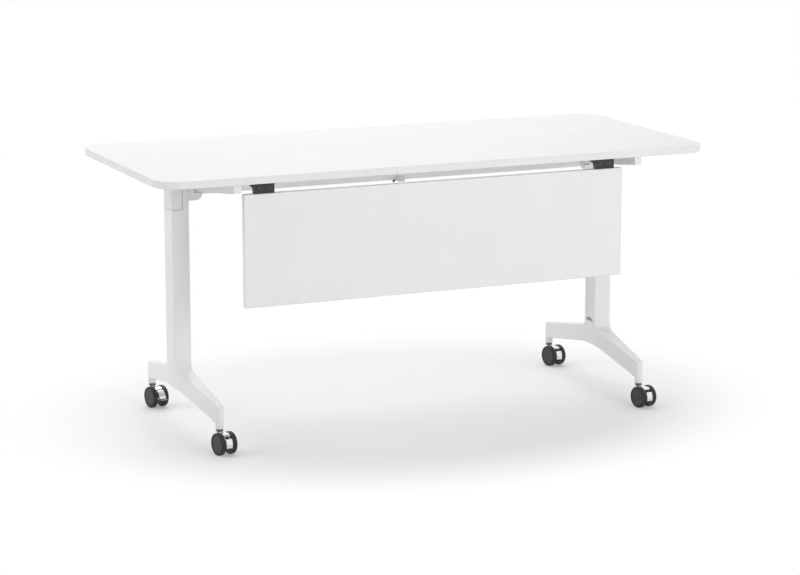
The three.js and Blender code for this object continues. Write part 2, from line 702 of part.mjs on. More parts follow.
// Hinge bracket: a flange under the board, a front web and two cheeks that hold the pin
const hingeX = panelHalf - HINGE_INSET;
const hingeHalf = HINGE_WIDTH / 2;
const hingeFront = PANEL_Y - HINGE_FRONT;
const flangeBottom = FRAME_TOP - HINGE_FLANGE_THICKNESS;
const hingeBottom = HINGE_Z - HINGE_EYE_RADIUS;
const flangeRear = hingeFront + HINGE_FLANGE_DEPTH;

function cheekProfile() {
  return [
    [hingeFront, hingeBottom],
    ...arc(PANEL_Y, HINGE_Z, HINGE_EYE_RADIUS, -90, 0, FILLET_FLATS),
    [PANEL_Y + HINGE_EYE_RADIUS, HINGE_Z + HINGE_THROAT],
    [flangeRear, flangeBottom],
    [flangeRear, flangeBottom + HINGE_FLANGE_THICKNESS / 2],
    [hingeFront, flangeBottom + HINGE_FLANGE_THICKNESS / 2],
  ];
}

const hingePinRadius = HINGE_PIN_DIAMETER / 2;
const flangeHalf = HINGE_FLANGE_WIDTH / 2;
const cheek = (x0) => alongX(cheekProfile(), x0, x0 + HINGE_CHEEK);
const bracketGeometry = cut(
  join(
    block(hingeX - flangeHalf, hingeX + flangeHalf, hingeFront, flangeRear, flangeBottom, FRAME_TOP),
    block(
      hingeX - hingeHalf,
      hingeX + hingeHalf,
      hingeFront,
      hingeFront + HINGE_WEB,
      hingeBottom,
      FRAME_TOP - HINGE_FLANGE_THICKNESS / 2,
    ),
    cheek(hingeX - hingeHalf),
    cheek(hingeX + hingeHalf - HINGE_CHEEK),
  ),
  rodX(hingePinRadius + SEAT, hingeX - flangeHalf, hingeX + flangeHalf, PANEL_Y, HINGE_Z, ROUND_SMALL),
);

const hingePinGeometry = rodX(
  hingePinRadius,
  hingeX - hingeHalf,
  hingeX + hingeHalf,
  PANEL_Y,
  HINGE_Z,
  ROUND_SMALL,
);

// Hinge leaf: a base on the panel's top edge and a barrel round the pin
const leafHalf = hingeHalf - HINGE_CHEEK - SWING;
const leafGeometry = cut(
  join(
    block(
      hingeX - leafHalf,
      hingeX + leafHalf,
      panelFront,
      panelRear,
      PANEL_TOP + SEAT,
      PANEL_TOP + SEAT + HINGE_LEAF_BASE,
    ),
    rodX(HINGE_EYE_RADIUS, hingeX - leafHalf, hingeX + leafHalf, PANEL_Y, HINGE_Z),
  ),
  rodX(hingePinRadius + RUN, hingeX - flangeHalf, hingeX + flangeHalf, PANEL_Y, HINGE_Z, ROUND_SMALL),
);

// Caster, in its own frame: the stem stands on the origin and the wheels trail towards -Y
const axleY = -CASTER_TRAIL;
const axleZ = WHEEL_RADIUS;
const axleRadius = AXLE_DIAMETER / 2;
const wheelInner = WHEEL_GAP / 2;
const polar = (radius, angle) => arc(axleY, axleZ, radius, angle, angle, 1)[0];
const sector = (radius, from, to, flats) => arc(axleY, axleZ, radius, from, to, flats);

// The wheel's flats touch the floor, so its corners lie a little outside the wheel radius
function wheelGeometry() {
  const outer = WHEEL_RADIUS / Math.cos(Math.PI / ROUND_FINE);
  const edge = WHEEL_EDGE_RADIUS;
  const rim = outer - WHEEL_RIM;
  const bore = axleRadius + RUN;
  const depth = WHEEL_WIDTH - WHEEL_DISC_RECESS - WHEEL_WEB;
  const profile = [
    [0, depth],
    [bore, depth],
    [bore, 0],
    [outer - edge, 0],
    [outer, edge],
    ...arc(outer - edge, WHEEL_WIDTH - edge, edge, 0, 90, EDGE_FLATS),
    [rim, WHEEL_WIDTH],
    [rim - WHEEL_DISC_RECESS, WHEEL_WIDTH - WHEEL_DISC_RECESS],
    [0, WHEEL_WIDTH - WHEEL_DISC_RECESS],
  ];
  const points = profile.map(([r, h]) => new THREE.Vector2(r, h));
  const lathe = new THREE.LatheGeometry(points, ROUND_FINE, Math.PI / ROUND_FINE);
  return lathe.rotateZ(-Math.PI / 2);
}

const stemProfile = [
  [0, BOSS_TOP - BOSS_HEIGHT + BOSS_FLOOR + RUN],
  [STEM_PIN_DIAMETER / 2, BOSS_TOP - BOSS_HEIGHT + BOSS_FLOOR + RUN],
  [STEM_PIN_DIAMETER / 2, BOSS_TOP + RUN],
  [COLLAR_DIAMETER / 2, BOSS_TOP + RUN],
  [COLLAR_DIAMETER / 2, COLLAR_TOP],
  [STEM_DIAMETER / 2, COLLAR_TOP],
  [STEM_DIAMETER / 2, stemTop],
  [0, stemTop],
];
const stemPoints = stemProfile.map(([r, h]) => new THREE.Vector2(r, h));
const stemGeometry = new THREE.LatheGeometry(stemPoints, ROUND_SMALL).rotateX(Math.PI / 2);

const pedalPivot = [axleY + PEDAL_PIVOT_Y, axleZ + PEDAL_PIVOT_Z];
const pocketHalf = HOOD_HALF - HOOD_CHEEK;
const hoodOutline = [
  ...sector(HOOD_RADIUS, HOOD_REAR, HOOD_FRONT, BOARD_CORNER_FLATS),
  ...sector(HOOD_CHEEK_RADIUS, HOOD_FRONT, CHEEK_FRONT, FILLET_FLATS),
  ...sector(HOOD_HUB_RADIUS, HUB_FROM, HUB_TO, FILLET_FLATS),
];
const pocketOutline = [
  ...sector(HOOD_RADIUS - HOOD_CROWN, POCKET_REAR, HOOD_FRONT, EDGE_FLATS),
  ...sector(WHEEL_RADIUS + PAST, HOOD_FRONT, POCKET_FRONT, FILLET_FLATS),
  ...sector(HOOD_HUB_RADIUS + SWING, POCKET_FRONT, POCKET_REAR, FILLET_FLATS),
];
const bossRadius = HOOD_HALF;
const hoodGeometry = cut(
  join(
    cut(alongX(hoodOutline, -HOOD_HALF, HOOD_HALF), alongX(pocketOutline, -pocketHalf, pocketHalf)),
    rodZ(bossRadius, BOSS_TOP - BOSS_HEIGHT, BOSS_TOP, 0, 0, ROUND_SMALL),
  ),
  rodZ(STEM_PIN_DIAMETER / 2 + RUN, BOSS_TOP - BOSS_HEIGHT + BOSS_FLOOR, BOSS_TOP + PAST, 0, 0, ROUND_SMALL),
  rodX(axleRadius + SEAT, -PAST, PAST, axleY, axleZ, ROUND_SMALL),
  rodX(PEDAL_PIN_RADIUS + RUN, -PAST, PAST, ...pedalPivot, ROUND_SMALL),
  block(-PAST, PAST, -PAST, PAST, BOSS_TOP, BOSS_TOP + PAST),
);

const axleHalf = wheelInner + WHEEL_WIDTH - WHEEL_DISC_RECESS - WHEEL_WEB - RUN;
const axleGeometry = rodX(axleRadius, -axleHalf, axleHalf, axleY, axleZ, ROUND_SMALL);

const padHalf = HOOD_HALF - SEAT;
const armHalf = pocketHalf - RUN;
const pedalInner = PEDAL_OUTER_RADIUS - PEDAL_THICKNESS;
const pedalMiddle = PEDAL_OUTER_RADIUS - PEDAL_THICKNESS / 2;
const pedalPad = [
  ...sector(PEDAL_OUTER_RADIUS, PEDAL_TOP, PEDAL_BOTTOM, FILLET_FLATS),
  ...sector(pedalInner, PEDAL_BOTTOM, PEDAL_TOP, FILLET_FLATS),
];
const pedalLip = [
  polar(pedalMiddle, PEDAL_BOTTOM - PEDAL_LIP_SPREAD),
  polar(PEDAL_OUTER_RADIUS + PEDAL_LIP, PEDAL_BOTTOM - PEDAL_LIP_SPREAD),
  polar(PEDAL_OUTER_RADIUS + PEDAL_LIP, PEDAL_BOTTOM),
  polar(pedalMiddle, PEDAL_BOTTOM),
];
const eyeSide = PEDAL_EYE_RADIUS * Math.SQRT1_2;
const pedalArm = [
  [pedalPivot[0] - eyeSide, pedalPivot[1] + eyeSide],
  polar(pedalMiddle, PEDAL_ARM - PEDAL_ARM_SPREAD),
  polar(pedalMiddle, PEDAL_ARM + PEDAL_ARM_SPREAD),
  [pedalPivot[0] + eyeSide, pedalPivot[1] - eyeSide],
];
const pedalGeometry = join(
  alongX(pedalPad, -padHalf, padHalf),
  alongX(pedalLip, -padHalf, padHalf),
  alongX(pedalArm, -armHalf, armHalf),
  rodX(PEDAL_EYE_RADIUS, -armHalf, armHalf, ...pedalPivot, ROUND_SMALL),
  rodX(PEDAL_PIN_RADIUS, -padHalf, padHalf, ...pedalPivot, ROUND_SMALL),
);

const pedalGeometryLifted = pedalGeometry
  .clone()
  .translate(0, -pedalPivot[0], -pedalPivot[1])
  .rotateX(-PEDAL_LIFT)
  .translate(0, ...pedalPivot);

// Assembly
const table = new THREE.Group();

function place(parent, name, geometry, material) {
  const mesh = new THREE.Mesh(geometry, material);
  mesh.name = name;
  parent.add(mesh);
  return mesh;
}

function placePair(parent, name, geometry, material) {
  place(parent, `${name}_right`, geometry, material);
  place(parent, `${name}_left`, mirrored(geometry), material);
}

const tiltingFrame = new THREE.Group();
table.add(tiltingFrame);
place(tiltingFrame, 'table_top', boardGeometry, WHITE_MELAMINE);
place(tiltingFrame, 'edge_band', edgeBandGeometry, WHITE_EDGE);
place(tiltingFrame, 'crossbeam', beamGeometry, WHITE_LACQUER);
placePair(tiltingFrame, 'support_arm', armGeometry, WHITE_LACQUER);
placePair(tiltingFrame, 'pivot_shaft', shaftGeometry, STEEL);
placePair(tiltingFrame, 'hinge_bracket', bracketGeometry, BLACK_PLASTIC);
placePair(tiltingFrame, 'hinge_pin', hingePinGeometry, STEEL);
place(tiltingFrame, 'lever_pin', leverPinGeometry, STEEL);
place(tiltingFrame, 'lever_plate', leverPlateGeometry, WHITE_PLASTIC);

const lock = new THREE.Group();
tiltingFrame.add(lock);
place(lock, 'release_lever', leverGeometry, WHITE_LACQUER);
place(lock, 'lock_rod_right', rodGeometry, STEEL);
place(lock, 'lock_rod_left', rodGeometryLeft, STEEL);

const frontPanel = new THREE.Group();
tiltingFrame.add(frontPanel);
place(frontPanel, 'modesty_panel', panelGeometry, WHITE_MELAMINE);
place(frontPanel, 'panel_edge_band', panelBandGeometry, WHITE_EDGE);
placePair(frontPanel, 'hinge_leaf', leafGeometry, BLACK_PLASTIC);

const legs = new THREE.Group();
table.add(legs);
placePair(legs, 'foot', footGeometry, WHITE_LACQUER);
placePair(legs, 'column', columnGeometry, WHITE_LACQUER);
placePair(legs, 'cable_cover', cableCoverGeometry, WHITE_PLASTIC);
placePair(legs, 'head_cover', headCoverGeometry, WHITE_PLASTIC);
placePair(legs, 'pivot_housing', housingGeometry, WHITE_LACQUER);
placePair(legs, 'pivot_bush', bushGeometry, BRONZE);
placePair(legs, 'stop_pad', padGeometry, RUBBER);

function placeCaster(name, x, y, pedal) {
  const caster = new THREE.Group();
  caster.position.set(x, y, 0);
  caster.rotation.z = CASTER_TURN;
  legs.add(caster);
  place(caster, `${name}_caster_stem`, stemGeometry, DARK_STEEL);
  place(caster, `${name}_caster_hood`, hoodGeometry, CHROME);
  place(caster, `${name}_caster_axle`, axleGeometry, STEEL);
  place(caster, `${name}_brake_pedal`, pedal, CHROME);
  const right = place(caster, `${name}_wheel_right`, wheelGeometry(), WHEEL_GREY);
  right.position.set(wheelInner, axleY, axleZ);
  const left = place(caster, `${name}_wheel_left`, mirrored(wheelGeometry()), WHEEL_GREY);
  left.position.set(-wheelInner, axleY, axleZ);
}

// Three brakes are pressed down and the one at the rear left is up
placeCaster('front_left', -STEM_X, stemYs[0], pedalGeometry);
placeCaster('front_right', STEM_X, stemYs[0], pedalGeometry);
placeCaster('rear_left', -STEM_X, stemYs[1], pedalGeometryLifted);
placeCaster('rear_right', STEM_X, stemYs[1], pedalGeometry);

export default table;
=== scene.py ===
import math

import bmesh
import bpy
from bpy.props import FloatProperty, FloatVectorProperty, IntProperty, PointerProperty
from mathutils import Matrix, Vector


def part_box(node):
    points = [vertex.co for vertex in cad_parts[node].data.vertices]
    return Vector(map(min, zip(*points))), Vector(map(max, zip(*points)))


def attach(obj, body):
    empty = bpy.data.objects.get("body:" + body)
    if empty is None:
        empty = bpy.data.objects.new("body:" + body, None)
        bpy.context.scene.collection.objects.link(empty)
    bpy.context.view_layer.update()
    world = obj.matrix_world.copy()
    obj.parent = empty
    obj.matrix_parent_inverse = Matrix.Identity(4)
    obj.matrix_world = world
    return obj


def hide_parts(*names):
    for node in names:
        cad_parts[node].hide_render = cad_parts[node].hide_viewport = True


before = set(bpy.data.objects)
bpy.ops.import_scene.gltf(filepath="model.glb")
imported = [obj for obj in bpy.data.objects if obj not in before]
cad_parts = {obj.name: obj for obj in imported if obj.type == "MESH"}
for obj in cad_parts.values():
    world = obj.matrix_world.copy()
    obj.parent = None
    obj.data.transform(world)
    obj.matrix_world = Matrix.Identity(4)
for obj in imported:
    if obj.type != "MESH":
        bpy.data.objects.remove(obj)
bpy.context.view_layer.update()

bl_info = {
    "name": "Flip top training table",
    "version": (1, 0, 0),
    "blender": (4, 5, 0),
    "location": "View3D > Sidebar > Training table",
    "description": "Builds the finished pieces of a training table around its packed model",
    "category": "Object",
}

MM = 0.001
# Vertices closer than this become one
WELD = 0.01 * MM
# How far a cutting tool reaches past what it cuts
PAST = 50 * MM
SIDES = (("right", 1), ("left", -1))
AXES = {"X": (1, 2, 0), "Y": (0, 2, 1), "Z": (0, 1, 2)}


# Sizes and colours

def length(name, description, default):
    """A length in metres."""
    return FloatProperty(
        name=name, description=description, default=default, min=0.0, precision=5, unit="LENGTH"
    )


def place(name, description, default):
    """A coordinate in metres, which may be negative."""
    return FloatProperty(name=name, description=description, default=default, precision=5, unit="LENGTH")


def angle(name, description, degrees):
    """An angle, given in degrees."""
    return FloatProperty(name=name, description=description, default=math.radians(degrees), subtype="ANGLE")


def colour(name, description, default):
    """A scene-linear colour."""
    return FloatVectorProperty(
        name=name, description=description, default=default, size=3, min=0.0, max=1.0, subtype="COLOR"
    )


def strength(name, description, default):
    """A lamp's power, a background's strength or another plain number that isn't negative."""
    return FloatProperty(name=name, description=description, default=default, min=0.0)


class BoardSettings(bpy.types.PropertyGroup):
    """The board and the front panel."""

    corner_radius: length("Corner radius", "Radius of the board's four corners", 68 * MM)
    edge_round: length("Edge rounding", "Radius along the arrises of the board's edge band", 1.4 * MM)
    joint_x: place("Band joint", "Where the ends of the edge band meet on the front edge", -14 * MM)
    joint_half: length("Joint half width", "Half the width of the groove at the band joint", 1.1 * MM)
    joint_depth: length("Joint depth", "Depth of the groove at the band joint", 0.5 * MM)
    panel_round: length("Panel rounding", "Radius along the arrises of the panel's edge band", 0.6 * MM)
    panel_corner: length("Panel corner", "Radius of the panel's four corners", 1.2 * MM)
    melamine: colour("Melamine", "White of the board and the panel", (0.86, 0.86, 0.855))
    edging: colour("Edging", "White of the edge bands", (0.84, 0.84, 0.835))


class LegSettings(bpy.types.PropertyGroup):
    """Columns, head covers, feet and pivot housings."""

    crown: length("Column crown", "How far the front and rear of a column bulge", 2 * MM)
    column_corner: length("Column corner", "Radius of a column's upright arrises", 4 * MM)
    channel_width: length("Channel width", "Width of the cable channel in the inner face", 36 * MM)
    channel_depth: length("Channel depth", "Depth of the cable channel", 10 * MM)
    seam_gap: length("Seam gap", "How far the head cover stands back along its seam", 0.8 * MM)
    seam_round: length("Seam rounding", "Rounding along the seam of the head cover", 0.9 * MM)
    head_round: length("Head rounding", "Radius of the head's rear top edge", 6 * MM)
    post_diameter: length("Post diameter", "Diameter of the round posts over the casters", 22 * MM)
    housing_corner: length("Housing corner", "Radius of a housing's lower inner corner", 18 * MM)
    toe_depth: length("Toe depth", "Depth of a housing's toe from front to back", 16 * MM)
    toe_height: length("Toe height", "Height of a housing's toe below the arm", 21 * MM)
    housing_round: length("Housing rounding", "Radius along the arrises of a housing", 2.5 * MM)
    lacquer: colour("Lacquer", "White of the lacquered metal", (0.84, 0.84, 0.825))
    moulding: colour("Moulding", "White of the plastic covers", (0.83, 0.83, 0.82))


class FrameSettings(bpy.types.PropertyGroup):
    """The tilting frame, the hinges and the lock."""

    arm_round: length("Arm rounding", "Radius along the arrises of a support arm", 1.6 * MM)
    tube_round: length("Tube rounding", "Radius of the crossbeam's long arrises", 3 * MM)
    tube_wall: length("Tube wall", "Wall of the crossbeam", 2.5 * MM)
    lever_width: length("Lever width", "Width of the lever's hook at its root", 5 * MM)
    knob_length: length("Knob length", "Long way across the lever's knob", 8.5 * MM)
    knob_height: length("Knob height", "Short way across the lever's knob", 5.5 * MM)
    screw_radius: length("Screw radius", "Radius of a screw head", 3.4 * MM)
    screw_height: length("Screw height", "Height of a screw head", 1.5 * MM)
    black: colour("Black plastic", "Colour of the hinges and the lever's knob", (0.028, 0.028, 0.030))


class CasterSettings(bpy.types.PropertyGroup):
    """Casters with their brakes."""

    trail: length("Trail", "From the stem to the axle", 24 * MM)
    turn: angle("Turn", "How far the casters are turned at rest", 10.0)
    lift: angle("Pedal lift", "How far a brake pedal rises when it is let go", 30.0)
    rim: length("Rim", "Width of the raised rim round a wheel's face", 5 * MM)
    tread_round: length("Tread rounding", "Radius of the outer edge of the tread", 4 * MM)
    rib_count: IntProperty(name="Ribs", description="Grip ribs on each pedal", default=5, min=1)
    rib_length: length("Rib length", "Length of a grip rib", 12 * MM)
    rib_width: length("Rib width", "Width of a grip rib", 0.9 * MM)
    rib_height: length("Rib height", "How far a grip rib stands proud", 0.35 * MM)
    wheel: colour("Wheel", "Grey of the wheels", (0.034, 0.034, 0.037))
    chrome: colour("Chrome", "Colour of the plated hoods and pedals", (0.80, 0.80, 0.81))


class StageSettings(bpy.types.PropertyGroup):
    """Camera, lamps and floor."""

    camera_place: FloatVectorProperty(
        name="Camera place", description="Where the camera stands", default=(-2.9074, -6.6183, 1.8420),
        size=3, precision=4, subtype="TRANSLATION", unit="LENGTH",
    )
    camera_yaw: angle("Camera yaw", "How far the camera looks to the right of straight back", 23.847)
    camera_pitch: angle("Camera pitch", "How far the camera looks down", 11.761)
    focal_length: FloatProperty(
        name="Focal length", description="Focal length in millimetres on a 36 mm wide sensor",
        default=118.6, min=1.0,
    )
    ambient: strength("Ambient", "Strength of the light from all round", 0.54)
    rear: strength("Rear lamp", "Power of the soft lamp over and behind the table", 60.0)
    left: strength("Left lamp", "Power of the soft lamp on the left", 47.0)
    front: strength("Front lamp", "Power of the soft lamp in front", 90.0)
    floor: colour("Floor", "Colour of the floor under the lamps", (0.90, 0.90, 0.90))
    floor_lift: FloatProperty(
        name="Floor lift", description="Share of plain white in the floor under the table, as it is seen",
        default=0.20, min=0.0, max=1.0, subtype="FACTOR",
    )
    shadow_length: length("Shadow length", "Half the length of the floor that shows the shadow", 0.93)
    shadow_width: length("Shadow width", "Half the width of the floor that shows the shadow", 0.75)
    shadow_inner: strength("Shadow inner edge", "Where the floor starts to whiten, in half lengths", 0.70)
    shadow_outer: strength("Shadow outer edge", "Where the floor is plain white, in half lengths", 1.22)


# Drawing helpers

def shares(steps):
    """Even shares from 0 to 1."""
    return [i / steps for i in range(steps + 1)]


def clamped(value):
    """A value kept between 0 and 1."""
    return min(max(value, 0.0), 1.0)


def fuller(value, power):
    """A sine or cosine bent so that a round section grows squarer."""
    return math.copysign(abs(value) ** power, value)


def bent(start, bend, end, t):
    """A point on a curve that leaves its start and reaches its end in line with a bend."""
    return start * (1 - t) ** 2 + bend * 2 * t * (1 - t) + end * t ** 2


def arc(centre, radius, start, end, steps):
    """Points on an arc from one angle to another, in degrees."""
    points = []
    for t in shares(steps):
        turn = math.radians(start + (end - start) * t)
        points.append((centre[0] + radius * math.cos(turn), centre[1] + radius * math.sin(turn)))
    return points


def circle(centre, radius, steps):
    """Points all round a circle."""
    return arc(centre, radius, 0, 360, steps)[:-1]


def rounded_rectangle(x0, x1, y0, y1, radius, steps):
    """A rectangle with round corners, anticlockwise from its lower left corner."""
    return (
        arc((x0 + radius, y0 + radius), radius, 180, 270, steps)
        + arc((x1 - radius, y0 + radius), radius, 270, 360, steps)
        + arc((x1 - radius, y1 - radius), radius, 0, 90, steps)
        + arc((x0 + radius, y1 - radius), radius, 90, 180, steps)
    )


def spot(axis, point, height):
    """A point of an outline that is drawn across an axis, at a height along that axis."""
    first, second, along = AXES[axis]
    found = Vector()
    found[first], found[second], found[along] = point[0], point[1], height
    return found


def linked(name, data):
    """An object in the scene for a mesh, a lamp or a camera."""
    piece = bpy.data.objects.new(name, data)
    bpy.context.scene.collection.objects.link(piece)
    return piece


def solid(name, edit):
    """Makes an object of closed mesh, with its faces pointing outwards."""
    bmesh.ops.remove_doubles(edit, verts=edit.verts, dist=WELD)
    bmesh.ops.recalc_face_normals(edit, faces=edit.faces)
    mesh = bpy.data.meshes.new(name)
    edit.to_mesh(mesh)
    edit.free()
    return linked(name, mesh)


def rings(edit, rows, closed):
    """Skins rows of vertices. Each row is a loop; closed joins the last row to the first."""
    count = len(rows[0])
    pairs = list(zip(rows, rows[1:]))
    if closed:
        pairs.append((rows[-1], rows[0]))
    for one, other in pairs:
        for i in range(count):
            j = (i + 1) % count
            edit.faces.new((one[i], one[j], other[j], other[i]))


def prism(name, axis, outline, low, high):
    """An outline carried straight along an axis."""
    edit = bmesh.new()
    ends = [[edit.verts.new(spot(axis, point, height)) for point in outline] for height in (low, high)]
    for end in ends:
        edit.faces.new(end)
    rings(edit, ends, False)
    return solid(name, edit)


def block(name, x0, x1, y0, y1, z0, z1):
    """A plain block, to cut or join with."""
    return prism(name, "Z", [(x0, y0), (x1, y0), (x1, y1), (x0, y1)], z0, z1)


def rod(name, axis, centre, radius, low, high, steps=40):
    """A round bar, to cut or join with."""
    return prism(name, axis, circle(centre, radius, steps), low, high)


def turned_rows(edit, axis, centre, profile, steps):
    """Circles of vertices round an axis, from rows of radius and height."""
    rows = []
    for radius, height in profile:
        points = circle(centre, max(radius, WELD / 4), steps)
        rows.append([edit.verts.new(spot(axis, point, height)) for point in points])
    return rows


def lathe(name, axis, centre, profile, steps=64):
    """A round body from rows of radius and height, starting and ending on its axis."""
    edit = bmesh.new()
    rings(edit, turned_rows(edit, axis, centre, profile, steps), False)
    return solid(name, edit)


def hoop(name, axis, section, steps):
    """A ring round the origin from a closed section of radius and height."""
    edit = bmesh.new()
    rings(edit, turned_rows(edit, axis, (0.0, 0.0), section, steps), True)
    return solid(name, edit)


def outward(outline, i):
    """The mitred outward direction at a corner of an anticlockwise outline."""
    sharpest = 0.3
    here = Vector(outline[i])
    before = (here - Vector(outline[i - 1])).normalized()
    after = (Vector(outline[(i + 1) % len(outline)]) - here).normalized()
    normal = Vector((before.y, -before.x)) + Vector((after.y, -after.x))
    normal.normalize()
    return normal / max(normal.dot(Vector((after.y, -after.x))), sharpest)


def strip(name, axis, outline, section, dents=None):
    """A band round an outline.

    section has rows of outward offset and height, and dents maps a corner of the outline to its inset.
    """
    edit = bmesh.new()
    rows = []
    inner = min(offset for offset, _ in section)
    for i, point in enumerate(outline):
        normal = outward(outline, i)
        dent = (dents or {}).get(i, 0.0)
        row = []
        for offset, height in section:
            pushed = Vector(point) + normal * (offset if offset == inner else offset - dent)
            row.append(edit.verts.new(spot(axis, pushed, height)))
        rows.append(row)
    rings(edit, rows, True)
    return solid(name, edit)


def banded_section(thickness, radius, low, high, steps=4):
    """Cross-section of an edge band: flat behind, rounded along both outer arrises."""
    return (
        [(-thickness, high)]
        + arc((-radius, high - radius), radius, 90, 0, steps)
        + arc((-radius, low + radius), radius, 0, -90, steps)
        + [(-thickness, low)]
    )


# Working on pieces

def settle(piece):
    """Turns a piece and its modifiers into one plain mesh."""
    bpy.context.view_layer.update()
    graph = bpy.context.evaluated_depsgraph_get()
    made = bpy.data.meshes.new_from_object(piece.evaluated_get(graph))
    old = piece.data
    piece.modifiers.clear()
    piece.data = made
    bpy.data.meshes.remove(old)
    made.name = piece.name


def discard(piece):
    """Takes a helper object out of the scene with its mesh."""
    mesh = piece.data
    bpy.data.objects.remove(piece)
    bpy.data.meshes.remove(mesh)


def worked(piece, operation, tools):
    """Works tools into a piece one after the other, and takes them away."""
    for tool in tools:
        step = piece.modifiers.new(operation.title(), "BOOLEAN")
        step.operation = operation
        step.solver = "EXACT"
        step.object = tool
        settle(piece)
        discard(tool)
    return piece


def cut(piece, *tools):
    """Cuts tools from a piece."""
    return worked(piece, "DIFFERENCE", tools)


def join(piece, *tools):
    """Joins tools to a piece."""
    return worked(piece, "UNION", tools)


def common(piece, *tools):
    """Keeps what a piece shares with the tools."""
    return worked(piece, "INTERSECT", tools)


def soften(piece, width, steps=3, sharp=30.0, where=None):
    """Rounds the edges of a piece that bend more than sharp.

    where picks them by their middle and the edge itself. Flat faces are joined first.
    """
    flat = math.radians(0.4)
    edit = bmesh.new()
    edit.from_mesh(piece.data)
    bmesh.ops.remove_doubles(edit, verts=edit.verts, dist=WELD)
    bmesh.ops.dissolve_limit(edit, angle_limit=flat, verts=edit.verts, edges=edit.edges)
    chosen = []
    for edge in edit.edges:
        if len(edge.link_faces) != 2 or edge.calc_face_angle(0.0) < math.radians(sharp):
            continue
        middle = (edge.verts[0].co + edge.verts[1].co) / 2
        if where is None or where(middle, edge):
            chosen.append(edge)
    bmesh.ops.bevel(
        edit, geom=chosen, offset=width, offset_type="OFFSET", segments=steps, profile=0.5, affect="EDGES",
        clamp_overlap=True,
    )
    edit.to_mesh(piece.data)
    edit.free()
    return piece


def mirrored(piece, name):
    """A copy of a piece on the other side of the table."""
    edit = bmesh.new()
    edit.from_mesh(piece.data)
    bmesh.ops.scale(edit, vec=(-1, 1, 1), verts=edit.verts)
    return solid(name, edit)


def moved(piece, matrix):
    """Moves a piece's mesh."""
    piece.data.transform(matrix)
    return piece


def shade(piece, crease=38.0):
    """Shades a piece smoothly, with flat faces kept flat."""
    piece.data.shade_smooth()
    piece.data.set_sharp_from_angle(angle=math.radians(crease))
    even = piece.modifiers.new("Even shading", "WEIGHTED_NORMAL")
    even.keep_sharp = True
    settle(piece)


def fit(piece, body, finish, slot, *nodes):
    """Finishes a piece, hangs it on its body and hides the imported nodes that it stands for."""
    shade(piece)
    piece.data.materials.clear()
    piece.data.materials.append(finish)
    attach(piece, body)
    if nodes:
        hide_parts(*nodes)
    return piece


def fit_pair(piece, name, body, finish, slot, node):
    """Fits a piece on the right of the table and its mirror image on the left."""
    twin = mirrored(piece, name + "_left")
    piece.name = name + "_right"
    for side, made in (("right", piece), ("left", twin)):
        fit(made, body, finish, slot, f"{node}_{side}")


def fit_copy(pattern, put, name, body, finish, slot, *nodes):
    """Fits a copy of a pattern in its place. A copy that is turned inside out is put right."""
    mesh = pattern.data.copy()
    mesh.name = name
    mesh.transform(put)
    if put.determinant() < 0:
        mesh.flip_normals()
    return fit(linked(name, mesh), body, finish, slot, *nodes)


# Finishes

# The part of a noise pattern over which a finish goes from one end of its range to the other
PATTERN_LOW = 0.3
PATTERN_HIGH = 0.7
# How much finer the gloss of a finish varies than its colour
GLOSS_FINENESS = 2.3


def made_finish(name, base, roughness, metallic):
    """A new material, its shader and its Object coordinates."""
    finish = bpy.data.materials.new(name)
    finish.use_nodes = True
    nodes = finish.node_tree.nodes
    shader = nodes["Principled BSDF"]
    shader.inputs["Base Color"].default_value = (*base, 1.0)
    shader.inputs["Roughness"].default_value = roughness
    shader.inputs["Metallic"].default_value = metallic
    return finish, shader, nodes.new("ShaderNodeTexCoord").outputs["Object"]


def noise(finish, source, scale, detail, stretch):
    """A noise pattern on a piece, in steps per metre, stretched along an axis if wanted."""
    tree = finish.node_tree
    if stretch is not None:
        mapping = tree.nodes.new("ShaderNodeMapping")
        mapping.inputs["Scale"].default_value = stretch
        tree.links.new(source, mapping.inputs["Vector"])
        source = mapping.outputs["Vector"]
    pattern = tree.nodes.new("ShaderNodeTexNoise")
    pattern.inputs["Scale"].default_value = scale
    pattern.inputs["Detail"].default_value = detail
    tree.links.new(source, pattern.inputs["Vector"])
    return pattern.outputs["Fac"]


def tinted(finish, shader, pattern, base, spread):
    """Lets the colour vary a little, lighter and darker, with a pattern."""
    tree = finish.node_tree
    ramp = tree.nodes.new("ShaderNodeValToRGB")
    stops = ((PATTERN_LOW, 1.0 - spread), (PATTERN_HIGH, 1.0 + spread))
    for element, (position, share) in zip(ramp.color_ramp.elements, stops):
        element.position = position
        element.color = (*[min(channel * share, 1.0) for channel in base], 1.0)
    tree.links.new(pattern, ramp.inputs["Fac"])
    tree.links.new(ramp.outputs["Color"], shader.inputs["Base Color"])


def glossed(finish, shader, pattern, low, high):
    """Lets the roughness vary between two values with a pattern."""
    tree = finish.node_tree
    span = tree.nodes.new("ShaderNodeMapRange")
    span.inputs["From Min"].default_value = PATTERN_LOW
    span.inputs["From Max"].default_value = PATTERN_HIGH
    span.inputs["To Min"].default_value = low
    span.inputs["To Max"].default_value = high
    tree.links.new(pattern, span.inputs["Value"])
    tree.links.new(span.outputs["Result"], shader.inputs["Roughness"])


def grained(finish, shader, pattern, depth, share):
    """Gives the surface a fine relief of a depth in metres."""
    tree = finish.node_tree
    bump = tree.nodes.new("ShaderNodeBump")
    bump.inputs["Strength"].default_value = share
    bump.inputs["Distance"].default_value = depth
    tree.links.new(pattern, bump.inputs["Height"])
    tree.links.new(bump.outputs["Normal"], shader.inputs["Normal"])


